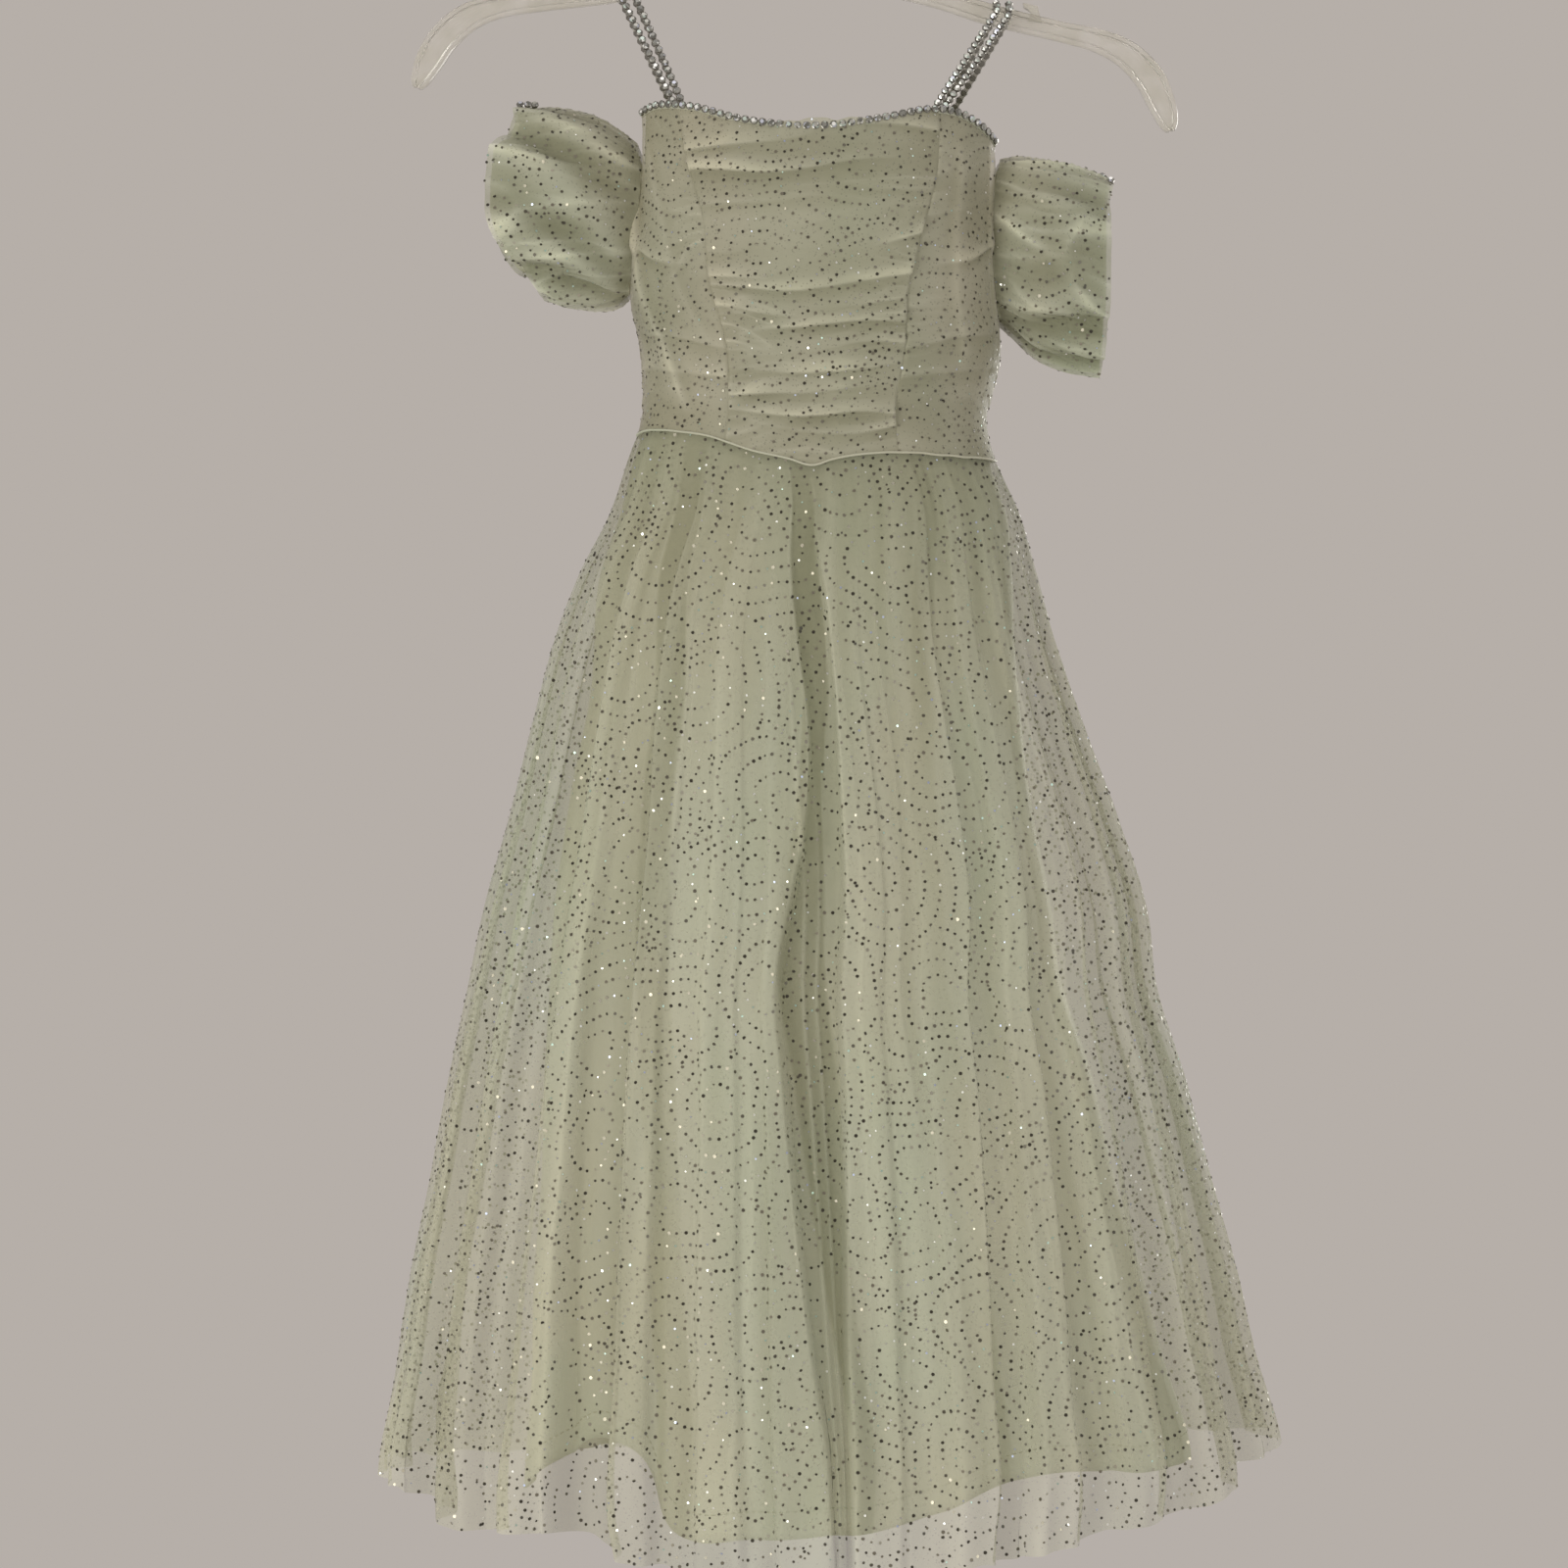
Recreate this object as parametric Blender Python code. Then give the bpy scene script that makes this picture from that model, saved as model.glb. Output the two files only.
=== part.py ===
"""A flower girl dress on a clear hanger, as the pieces that a maker cuts and sews: thin walls with folds.

Tables and constants are in millimetres, and the meshes are in metres. +X is the right of the front
view, +Y is the back of the dress and +Z is up. The origin is the inner top of the hanger's hook. A drop
is a distance below it. An angle round the body is 0 at the centre front, 90 at the right side and 180
or -180 at the centre back.
"""

from collections import namedtuple

import bmesh
import bpy
import numpy as np

MM = 0.001

# Cloth thicknesses and the clearances between pieces
BODICE_WALL = 1.8
OVERSKIRT_WALL = 1.2
LINING_WALL = 1.0
SLEEVE_WALL = 1.2
GAP = 0.3
BODICE_SEAM = 0.45

# The body and the overskirt as ovals: their left and right edges, and their reach to the front and back
Section = namedtuple("Section", "drop left right front back")
BODY = (
    Section(150, -85.0, 98.5, 54, 40),
    Section(190, -84.0, 98.0, 60, 44),
    Section(225, -86.5, 95.5, 63, 46),
    Section(255, -88.5, 97.0, 62, 46),
    Section(285, -82.5, 98.5, 60, 45),
    Section(320, -83.5, 92.5, 57, 44),
    Section(338, -90.0, 97.0, 57, 44),
    Section(365, -99.0, 109.0, 60, 46),
    Section(395, -114.0, 117.5, 63, 47),
    Section(427, -126.0, 126.0, 66, 49),
    Section(471, -138.0, 141.0, 70, 51),
    Section(520, -150.0, 159.0, 74, 54),
    Section(565, -162.5, 173.5, 78, 57),
    Section(605, -171.0, 178.5, 82, 59),
    Section(655, -182.0, 194.0, 86, 62),
    Section(700, -190.5, 206.0, 90, 65),
    Section(750, -201.0, 219.5, 93, 67),
    Section(795, -208.0, 229.5, 96, 70),
    Section(836, -215.5, 241.0, 99, 72),
    Section(890, -215.0, 241.0, 101, 72),
)
ROUNDING = 0.84

# How far the lining skirt lies inside the overskirt on each of its four sides
LINING_INSET = (
    Section(320, 1.9, 1.9, 1.9, 1.9),
    Section(345, 3.0, 3.5, 3.2, 3.0),
    Section(393, 9.0, 11.0, 7.0, 5.0),
    Section(448, 23.0, 24.0, 11.0, 7.0),
    Section(513, 27.0, 40.0, 15.0, 9.0),
    Section(570, 34.5, 47.0, 18.0, 11.0),
    Section(633, 44.0, 44.5, 22.0, 14.0),
    Section(709, 55.0, 47.0, 27.0, 18.0),
    Section(770, 62.5, 45.0, 31.0, 20.0),
    Section(837, 70.5, 42.5, 34.0, 22.0),
    Section(880, 67.5, 42.5, 35.0, 22.0),
)

# Edges that run round the body
EdgePoint = namedtuple("EdgePoint", "angle drop")
NECK_EDGE = (
    EdgePoint(-180, 177),
    EdgePoint(-108, 168),
    EdgePoint(-76, 163),
    EdgePoint(-61, 161),
    EdgePoint(-43, 164),
    EdgePoint(-24, 172),
    EdgePoint(-2, 176),
    EdgePoint(21, 171),
    EdgePoint(36, 166),
    EdgePoint(47, 166),
    EdgePoint(60, 170.5),
    EdgePoint(76, 178),
    EdgePoint(108, 180),
    EdgePoint(180, 177),
)
WAIST_EDGE = (
    EdgePoint(-180, 331),
    EdgePoint(-135, 328),
    EdgePoint(-90, 325),
    EdgePoint(-53, 325.5),
    EdgePoint(-34, 329.5),
    EdgePoint(-18, 337),
    EdgePoint(-7, 341),
    EdgePoint(0, 344.5),
    EdgePoint(6, 341.5),
    EdgePoint(14, 339),
    EdgePoint(29, 337.5),
    EdgePoint(48, 338.5),
    EdgePoint(90, 338),
    EdgePoint(135, 334.5),
    EdgePoint(180, 331),
)
OVERSKIRT_HEM = (
    EdgePoint(-180, 846),
    EdgePoint(-120, 850),
    EdgePoint(-90, 847),
    EdgePoint(-68, 858),
    EdgePoint(-54, 872),
    EdgePoint(-39, 869),
    EdgePoint(-26, 882),
    EdgePoint(0, 889),
    EdgePoint(25, 880),
    EdgePoint(40, 867),
    EdgePoint(55, 860),
    EdgePoint(71, 842),
    EdgePoint(90, 833),
    EdgePoint(120, 838),
    EdgePoint(180, 846),
)
LINING_HEM = (
    EdgePoint(-180, 842),
    EdgePoint(-110, 848),
    EdgePoint(-78, 858),
    EdgePoint(-60, 838),
    EdgePoint(-42, 837),
    EdgePoint(-35, 866),
    EdgePoint(-16, 876),
    EdgePoint(-2, 875),
    EdgePoint(14, 862),
    EdgePoint(31, 846),
    EdgePoint(57, 847),
    EdgePoint(82, 843),
    EdgePoint(120, 846),
    EdgePoint(180, 842),
)

# The princess seams, whose angle changes from the neck to the waist
PRINCESS_LEFT = (
    EdgePoint(-50, 166),
    EdgePoint(-46, 192),
    EdgePoint(-38, 219),
    EdgePoint(-35, 242),
    EdgePoint(-32.5, 265),
    EdgePoint(-31, 290),
    EdgePoint(-28.5, 330),
)
PRINCESS_RIGHT = (
    EdgePoint(41, 166),
    EdgePoint(40, 204),
    EdgePoint(34.5, 236),
    EdgePoint(29.5, 262),
    EdgePoint(27.5, 284),
    EdgePoint(27, 306),
    EdgePoint(27.5, 330),
)
SIDE_ANGLE = 90
BACK_ANGLE = 180

# The armholes: where each starts at the front and ends at the back, and its lowest point
Armhole = namedtuple("Armhole", "side front back bottom")
ARMHOLES = (Armhole(-1, 76, 108, 254.5), Armhole(1, 76, 108, 267.5))
ARMHOLE_SQUARENESS = 3.0

# Ruching across the bodice: a ridge's drop at the left seam, the middle and the right seam
Ruche = namedtuple("Ruche", "left middle right height width")
CENTRE_RUCHES = (
    Ruche(186, 189, 183, 1.5, 3.2),
    Ruche(199, 195, 192, 1.7, 3.0),
    Ruche(212, 209, 204, 1.3, 3.6),
    Ruche(224, 222, 219, 1.2, 4.0),
    Ruche(237, 233, 228, 1.5, 3.6),
    Ruche(247, 250, 239, 2.0, 3.0),
    Ruche(256, 259, 251, 1.8, 2.8),
    Ruche(265, 268, 263, 1.5, 3.0),
    Ruche(277, 276, 273, 1.8, 3.2),
    Ruche(286, 288, 284, 1.4, 3.2),
    Ruche(297, 298, 294, 1.9, 3.0),
    Ruche(306, 309, 305, 1.7, 2.8),
    Ruche(315, 319, 316, 2.0, 2.8),
    Ruche(322, 328, 326, 1.8, 2.8),
)
SIDE_RUCHES = (
    Ruche(194, 191, 188, 0.8, 4.5),
    Ruche(215, 212, 209, 0.9, 4.5),
    Ruche(239, 236, 232, 0.8, 4.5),
    Ruche(262, 260, 256, 1.0, 4.0),
    Ruche(279, 277, 273, 1.0, 3.6),
    Ruche(295, 293, 290, 1.1, 3.6),
    Ruche(310, 309, 306, 1.0, 3.4),
)
SEAM_FADE = 0.07

# Folds of the skirts: troughs whose angle, depth and half widths are given at the waist, middle and hem
Fold = namedtuple("Fold", "waist hem depth waist_width middle_width hem_width squareness")
OVERSKIRT_FOLDS = (
    Fold(-72, -64, 13, 5.0, 5.0, 4.5, 2),
    Fold(-55, -49, 11, 4.5, 5.0, 4.0, 2),
    Fold(-40, -33, 19, 5.0, 5.5, 5.0, 2),
    Fold(-24, -20, 7, 4.0, 4.0, 3.5, 2),
    Fold(-12, -9, 6, 3.0, 2.5, 2.6, 2),
    Fold(0, 0.5, 29, 3.5, 6.5, 3.0, 4),
    Fold(16, 12, 5, 3.5, 3.5, 3.5, 2),
    Fold(35.5, 23.5, 14, 3.5, 3.5, 3.0, 2),
    Fold(48, 35, 9, 4.0, 4.0, 4.0, 2),
    Fold(62, 50, 12, 5.0, 4.5, 4.5, 2),
    Fold(76, 67, 15, 5.5, 5.0, 5.0, 2),
    Fold(100, 92, 14, 6.0, 5.0, 5.0, 2),
    Fold(118, 112, 12, 5.0, 5.0, 5.0, 2),
    Fold(134, 131, 15, 5.0, 5.0, 5.0, 2),
    Fold(150, 149, 12, 5.0, 5.0, 4.5, 2),
    Fold(166, 167, 14, 4.5, 4.5, 4.5, 2),
    Fold(-167, -168, 14, 4.5, 4.5, 4.5, 2),
    Fold(-151, -150, 12, 5.0, 5.0, 4.5, 2),
    Fold(-134, -131, 15, 5.0, 5.0, 5.0, 2),
    Fold(-116, -111, 12, 5.0, 5.0, 5.0, 2),
    Fold(-97, -90, 14, 6.0, 5.0, 5.0, 2),
)
LINING_FOLDS = (
    Fold(-66, -62, 7, 7.0, 7.0, 6.0, 2),
    Fold(-38, -40, 10, 6.0, 6.0, 4.5, 2),
    Fold(0, -4, 10, 4.0, 6.0, 5.0, 2),
    Fold(30, 25, 7, 6.0, 6.0, 6.0, 2),
    Fold(58, 48, 7, 7.0, 7.0, 7.0, 2),
    Fold(96, 92, 8, 8.0, 8.0, 8.0, 2),
    Fold(130, 128, 7, 8.0, 8.0, 8.0, 2),
    Fold(162, 160, 8, 8.0, 8.0, 8.0, 2),
    Fold(-160, -158, 8, 8.0, 8.0, 8.0, 2),
    Fold(-124, -122, 7, 8.0, 8.0, 8.0, 2),
    Fold(-94, -92, 8, 8.0, 8.0, 8.0, 2),
)
SKIRT_LENGTH = 530.0
MIDDLE_OF_SKIRT = 0.5

# The sleeves as tubes: the ring's top and bottom drops and its reach to the front and back
SleeveRing = namedtuple("SleeveRing", "along top bottom front back squareness")
LEFT_SLEEVE = (
    SleeveRing(0.0, 176.0, 255.5, 18.6, 18.4, 3.0),
    SleeveRing(0.12, 170.0, 258.5, 23.0, 22.0, 2.8),
    SleeveRing(0.3, 162.5, 260.0, 29.0, 27.0, 2.5),
    SleeveRing(0.55, 157.5, 259.0, 33.0, 30.0, 2.3),
    SleeveRing(0.8, 155.5, 257.5, 32.5, 30.0, 2.3),
    SleeveRing(1.0, 155.0, 256.0, 28.0, 27.0, 2.3),
)
RIGHT_SLEEVE = (
    SleeveRing(0.0, 184.5, 268.5, 18.6, 18.4, 3.0),
    SleeveRing(0.12, 184.0, 274.0, 23.0, 22.0, 2.8),
    SleeveRing(0.3, 184.5, 283.0, 29.0, 27.0, 2.5),
    SleeveRing(0.55, 186.5, 289.5, 33.0, 30.0, 2.3),
    SleeveRing(0.8, 191.0, 292.5, 32.5, 30.0, 2.3),
    SleeveRing(1.0, 196.0, 293.5, 28.0, 27.0, 2.3),
)
Sleeve = namedtuple("Sleeve", "side rings cuff_top cuff_middle cuff_bottom folds")
SleeveFold = namedtuple("SleeveFold", "cuff root depth width")
SLEEVES = {
    "sleeve_left": Sleeve(
        -1,
        LEFT_SLEEVE,
        -146.0,
        -161.5,
        -130.5,
        (
            SleeveFold(50, 4, 5.0, 13),
            SleeveFold(5, -38, 3.5, 12),
            SleeveFold(-48, -66, 4.0, 11),
            SleeveFold(86, 60, 2.5, 14),
            SleeveFold(140, 172, 4.0, 14),
            SleeveFold(190, 215, 3.5, 13),
            SleeveFold(236, 248, 3.5, 12),
        ),
    ),
    "sleeve_right": Sleeve(
        1,
        RIGHT_SLEEVE,
        156.5,
        154.5,
        151.0,
        (
            SleeveFold(38, 28, 2.5, 14),
            SleeveFold(2, -14, 3.0, 13),
            SleeveFold(-34, -60, 5.0, 13),
            SleeveFold(-72, -80, 3.0, 11),
            SleeveFold(140, 165, 3.5, 14),
            SleeveFold(190, 212, 3.5, 13),
            SleeveFold(236, 248, 3.5, 12),
        ),
    ),
}
SLEEVE_CLEARANCE = 1.35
SLEEVE_FOLD_END = 0.72
SLEEVE_FOLD_RISE = 0.8

# Neckline trim and waist piping
TRIM_HEIGHT = 4.2
TRIM_THICKNESS = 1.2
PIPING_HALF_HEIGHT = 1.3
PipingPoint = namedtuple("PipingPoint", "out up")
PIPING_PROFILE = (
    PipingPoint(-3.1, -1.3),
    PipingPoint(0.5, -1.3),
    PipingPoint(1.4, -0.5),
    PipingPoint(1.4, 0.5),
    PipingPoint(0.5, 1.3),
    PipingPoint(-3.1, 1.3),
)

# The hanger's arms before it is rolled: distance from the middle, drop and depth of the section
HANGER_ROLL = 3.3
HOOK_RADIUS = 20.0
HOOK_WIRE = 1.7
HOOK_ARC = (-48, 205)
HOOK_STEPS = 19
ARMS_OFFSET = 2.5
ArmStation = namedtuple("ArmStation", "out below depth")
ARM = (
    ArmStation(0, 82.5, 14),
    ArmStation(18, 87.0, 11.5),
    ArmStation(41, 91.8, 10.5),
    ArmStation(72, 97.8, 10.5),
    ArmStation(97, 104.4, 10.5),
    ArmStation(132, 110.8, 10),
    ArmStation(152, 114.4, 11.5),
    ArmStation(168, 120.8, 14),
    ArmStation(180, 132.0, 15),
    ArmStation(187, 144.3, 14),
    ArmStation(191, 154.0, 10),
    ArmStation(192.5, 158.5, 5),
)
ARM_STEPS = 11
FLANGE_HALF = 2.8
FLANGE_DEPTH = 2.4
FLANGE_CHAMFER = 1.0
WEB_HALF = 1.2
WEB_FILLET = 0.7
FINGER_OUT = 118.0
FINGER_OUTLINE = ((-4.5, 5.5), (3.0, 4.2), (5.5, -3.5), (-1.0, -3.5), (-0.5, 1.5), (-4.0, 3.4))
FINGER_HALF = 1.9
BOSS_RADIUS = 5.2
BOSS_TOP = 71.5
BOSS_BOTTOM = 86.0
STEM_BOTTOM = 80.0
HOOK_STEM = ((2.5, STEM_BOTTOM), (2.5, 66.0), (2.6, 58.0), (3.6, 51.5), (6.2, 46.0), (10.0, 40.9))

# Straps: where each foot meets the front and back of the neckline, and where it crosses the arm
Strap = namedtuple("Strap", "name front_angle arm_x back_angle")
STRAPS = (Strap("strap_left", -51, -92.5, -135.5), Strap("strap_right", 41.5, 101.0, 145))
STRAP_WIDTH = 8.6
STRAP_THICKNESS = 1.8
STRAP_OVER_ARM = 6.2
STRAP_LIFT = 0.6
STRAP_WRAP = 78
STRAP_FOOT_GAP = 0.5
STRAP_ARC_STEPS = 8
STRAP_RUN_STEPS = 5

# The zip's slider and pull tab at the centre back
ZIP_DROP = 190.0
SLIDER_WIDTH = 7.0
SLIDER_LENGTH = 9.0
SLIDER_THICKNESS = 2.2
PIN_RADIUS = 0.7
PIN_OUT = 2.3
EAR_RADIUS = 1.6
EAR_THICKNESS = 1.2
EAR_INSIDE = 1.8
KNUCKLE_RADIUS = 1.75
KNUCKLE_HALF = 1.45
TAB_HALF_THICKNESS = 0.6
TAB_OUTLINE = (
    (-1.3, 0.0),
    (-1.3, -4.2),
    (-2.4, -7.0),
    (-3.0, -14.0),
    (-2.9, -18.5),
    (-1.8, -21.2),
    (0.0, -22.0),
    (1.8, -21.2),
    (2.9, -18.5),
    (3.0, -14.0),
    (2.4, -7.0),
    (1.3, -4.2),
    (1.3, 0.0),
)
ROUND_SIDES = 14

# Rough widths of the panels, which turn a seam's clearance into a share of a panel
CENTRE_PANEL = 100.0
SIDE_PANEL = 60.0
BACK_PANEL = 110.0
SKIRT_PANEL = 110.0
LINING_PANEL = 200.0
CENTRE_BACK_SLIT = 0.22

# Rows and columns of the cloth grids
CENTRE_GRID = (42, 10)
SIDE_COLUMNS = (0, 0.2, 0.4, 0.55, 0.645, 0.68, 0.73, 0.8, 0.9, 1)
SIDE_ROWS = 21
BACK_COLUMNS = (0, 0.05, 0.1, 0.145, 0.175, 0.192, 0.2, 0.3, 0.44, 0.58, 0.72, 0.86, 1)
BACK_ROWS = 10
FRONT_SKIRT_COLUMNS = (
    0, 0.009, 0.018, 0.027, 0.036, 0.047, 0.06, 0.078, 0.1, 0.13, 0.165, 0.2, 0.235, 0.265,
    0.3, 0.34, 0.38, 0.42, 0.47, 0.52, 0.57, 0.63, 0.69, 0.74, 0.79, 0.86, 0.93, 1,
)
BACK_SKIRT_STEPS = 24
SKIRT_FALLS = (0, 0.03, 0.08, 0.15, 0.23, 0.32, 0.42, 0.52, 0.62, 0.72, 0.82, 0.92, 1)
LINING_STEPS = 25
LINING_FALLS = (0, 0.04, 0.12, 0.25, 0.4, 0.55, 0.7, 0.85, 1)
SLEEVE_STEPS = 26
SLEEVE_RINGS = (0, 0.07, 0.18, 0.32, 0.48, 0.66, 0.84, 1)
PIPING_STEPS = 60
TRIM_FRONT_STEPS = 24
TRIM_BACK_STEPS = 10

Finish = namedtuple("Finish", "colour roughness metallic")
TULLE = Finish((0.72, 0.72, 0.58, 1), 0.7, 0.0)
SATIN = Finish((0.80, 0.79, 0.66, 1), 0.45, 0.0)
TRIM = Finish((0.70, 0.72, 0.74, 1), 0.25, 0.4)
CLEAR_PLASTIC = Finish((0.85, 0.86, 0.86, 1), 0.15, 0.0)
METAL = Finish((0.78, 0.78, 0.79, 1), 0.2, 1.0)


def column(rows, name):
    return np.array([getattr(row, name) for row in rows], float)


def smooth(at, places, values):
    """A cubic through the rows, each row's slope taken from its neighbours, held level past both ends."""
    slopes = np.gradient(values, places)
    at = np.clip(at, places[0], places[-1])
    row = np.clip(np.searchsorted(places, at, side="right") - 1, 0, len(places) - 2)
    step = places[row + 1] - places[row]
    u = (at - places[row]) / step
    start = (2 * u**3 - 3 * u**2 + 1) * values[row] + (u**3 - 2 * u**2 + u) * step * slopes[row]
    end = (3 * u**2 - 2 * u**3) * values[row + 1] + (u**3 - u**2) * step * slopes[row + 1]
    return start + end


def edge_drop(edge, angle):
    """The drop of an edge that runs round the body."""
    turned = (np.asarray(angle, float) + 180) % 360 - 180
    return smooth(turned, column(edge, "angle"), column(edge, "drop"))


def seam_angle(seam, drop):
    return smooth(drop, column(seam, "drop"), column(seam, "angle"))


def oval(angle, left, right, front, back):
    """The point of a rounded oval at an angle, from its four reaches."""
    turn = np.radians(angle)
    ahead = np.cos(turn)
    x = (left + right) / 2 + (right - left) / 2 * np.sin(turn)
    reach = np.where(ahead > 0, -front, back)
    return x, reach * np.abs(ahead) ** ROUNDING


def reaches(rows, drop):
    drops = column(rows, "drop")
    return [smooth(drop, drops, column(rows, side)) for side in ("left", "right", "front", "back")]


def body(angle, drop):
    """The plain body under the bodice, as points at an angle and a drop."""
    x, y = oval(angle, *reaches(BODY, drop))
    return np.stack([x, y, -np.asarray(drop, float) + 0 * x], axis=-1)


def waist_below(drop, angle):
    """The share of the skirt's length at a drop, 0 at the waist."""
    return np.clip((drop - edge_drop(WAIST_EDGE, angle)) / SKIRT_LENGTH, 0, 1)


def trough(folds, angle, fall):
    """The depth of all folds at an angle: each is a bell or a flat trough that deepens downwards."""
    total = 0 * fall
    for fold in folds:
        centre = fold.waist + (fold.hem - fold.waist) * fall
        places = np.array([0, MIDDLE_OF_SKIRT, 1])
        widths = np.array([fold.waist_width, fold.middle_width, fold.hem_width])
        width = smooth(fall, places, widths)
        away = np.abs((angle - centre + 180) % 360 - 180) / width
        total = total + fold.depth * fall * np.exp(-(away**fold.squareness))
    return total


def overskirt(angle, drop):
    """The overskirt's outer face: the body's oval, pushed in at each fold."""
    left, right, front, back = reaches(BODY, drop)
    inward = trough(OVERSKIRT_FOLDS, angle, waist_below(drop, angle))
    x, y = oval(angle, left + inward, right - inward, front - inward, back - inward)
    return np.stack([x, y, -np.asarray(drop, float) + 0 * x], axis=-1)


def lining(angle, drop):
    """The lining skirt's outer face, inside the overskirt by the inset table."""
    left, right, front, back = reaches(BODY, drop)
    inset = reaches(LINING_INSET, drop)
    inward = trough(LINING_FOLDS, angle, waist_below(drop, angle))
    x, y = oval(
        angle,
        left + inset[0] + inward,
        right - inset[1] - inward,
        front - inset[2] - inward,
        back - inset[3] - inward,
    )
    return np.stack([x, y, -np.asarray(drop, float) + 0 * x], axis=-1)


def outward(surface, across, down, across_step, down_step):
    """Unit normals from small steps along the surface."""
    by_across = surface(across + across_step, down) - surface(across - across_step, down)
    by_down = surface(across, down + down_step) - surface(across, down - down_step)
    normal = np.cross(by_down, by_across)
    return normal / np.linalg.norm(normal, axis=-1, keepdims=True)


def laid(surface, angle, drop, out, level_out=False):
    """Points of a surface moved out from it along its normals, or along their level part."""
    normal = outward(surface, angle, drop, 0.3, 0.5)
    if level_out:
        normal[..., 2] = 0
        normal = normal / np.linalg.norm(normal, axis=-1, keepdims=True)
    return surface(angle, drop) + normal * np.asarray(out)[..., None]


def quads(index):
    sides = (index[:-1, :-1], index[1:, :-1], index[1:, 1:], index[:-1, 1:])
    return np.stack(sides, axis=-1).reshape(-1, 4)


def rim(loop, offset):
    """Faces that join one border of the outer grid to the same border of the inner grid."""
    return np.stack([loop[:-1], loop[1:], loop[1:] + offset, loop[:-1] + offset], axis=-1)


def finish_object(name, points, faces, finish):
    """A mesh object in metres whose faces all point out."""
    mesh = bpy.data.meshes.new(name)
    mesh.from_pydata((np.asarray(points) * MM).tolist(), [], [list(map(int, face)) for face in faces])
    shape = bmesh.new()
    shape.from_mesh(mesh)
    bmesh.ops.recalc_face_normals(shape, faces=shape.faces)
    shape.to_mesh(mesh)
    shape.free()
    mesh.shade_smooth()
    thing = bpy.data.objects.new(name, mesh)
    bpy.context.scene.collection.objects.link(thing)
    mesh.materials.append(material(name, finish))
    return thing


def material(name, finish):
    made = bpy.data.materials.new(name)
    made.use_nodes = True
    shader = made.node_tree.nodes["Principled BSDF"]
    shader.inputs["Base Color"].default_value = finish.colour
    shader.inputs["Roughness"].default_value = finish.roughness
    shader.inputs["Metallic"].default_value = finish.metallic
    return made


def wall(name, outer, inner, finish, closed=False):
    """A cloth wall: an outer and an inner grid of points, joined along their free edges."""
    rows, columns = outer.shape[:2]
    index = np.arange(rows * columns).reshape(rows, columns)
    offset = rows * columns
    if closed:
        index = np.hstack([index, index[:, :1]])
        rims = [rim(index[0], offset), rim(index[-1, ::-1], offset)]
    else:
        border = [index[0], index[1:, -1], index[-1, -2::-1], index[-2::-1, 0]]
        rims = [rim(np.concatenate(border), offset)]
    faces = np.concatenate([quads(index), quads(index + offset)[:, ::-1], *rims])
    points = np.concatenate([outer.reshape(-1, 3), inner.reshape(-1, 3)])
    return finish_object(name, points, faces, finish)


def in_from_seams(shares, width_mm, gap=GAP):
    """Column shares with the first and last moved in by half a seam gap."""
    shares = np.array(shares, float)
    half = gap / 2 / width_mm
    return half + shares * (1 - 2 * half)


def armhole_scoop(angle, drop):
    """The neck edge's drop, lowered to the armhole's edge between its front and back."""
    for armhole in ARMHOLES:
        middle = armhole.side * (armhole.front + armhole.back) / 2
        half = (armhole.back - armhole.front) / 2
        across = np.abs((angle - middle) / half)
        scoop = np.clip(1 - across**ARMHOLE_SQUARENESS, 0, 1) ** (1 / ARMHOLE_SQUARENESS)
        drop = drop + scoop * (armhole.bottom - drop)
    return drop


def neck_drop(angle):
    return armhole_scoop(angle, edge_drop(NECK_EDGE, angle))


def bodice_bottom(angle):
    return edge_drop(WAIST_EDGE, angle) - PIPING_HALF_HEIGHT - GAP


def first_drop_in_cloth(angle_at):
    """The highest drop at which a column, whose angle depends on the drop, is below the neck edge."""
    drops = np.linspace(155, 275, 2401)[:, None]
    inside = drops >= neck_drop(angle_at(drops))
    return drops[np.argmax(inside, axis=0), 0]


def bodice_grid(start, end, shares, falls):
    """Angles and drops of a bodice panel between two seams that are functions of the drop."""
    shares = np.asarray(shares)

    def angle_at(drop):
        return start(drop) + (end(drop) - start(drop)) * shares

    top = first_drop_in_cloth(angle_at)
    drop = top + 0 * shares
    angle = angle_at(drop)
    falls = np.asarray(falls, float)[:, None]
    for _ in range(6):
        drop = top + falls * (bodice_bottom(angle) - top)
        angle = angle_at(drop)
    return angle, drop


def ruched(ruches, share, drop):
    """The height of the ruching: bell-shaped ridges across the panel, faded out at its seams."""
    total = 0 * drop
    for ruche in ruches:
        line = smooth(share, np.array([0, 0.5, 1]), np.array([ruche.left, ruche.middle, ruche.right], float))
        total = total + ruche.height * np.exp(-(((drop - line) / ruche.width) ** 2))
    fade = np.clip(np.minimum(share, 1 - share) / SEAM_FADE, 0, 1)
    return total * fade


def bodice_panel(name, start, end, shares, falls, width_mm, ruches=(), mirrored=False):
    shares = in_from_seams(shares, width_mm, BODICE_SEAM)
    angle, drop = bodice_grid(start, end, shares, falls)
    across = 1 - shares if mirrored else shares
    raised = ruched(ruches, across + 0 * drop, drop)
    outer = laid(body, angle, drop, raised, level_out=True)
    inner = laid(body, angle, drop, 0 * drop - BODICE_WALL, level_out=True)
    wall(name, outer, inner, SATIN)


def level(angle):
    return lambda drop: angle + 0 * drop


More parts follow.
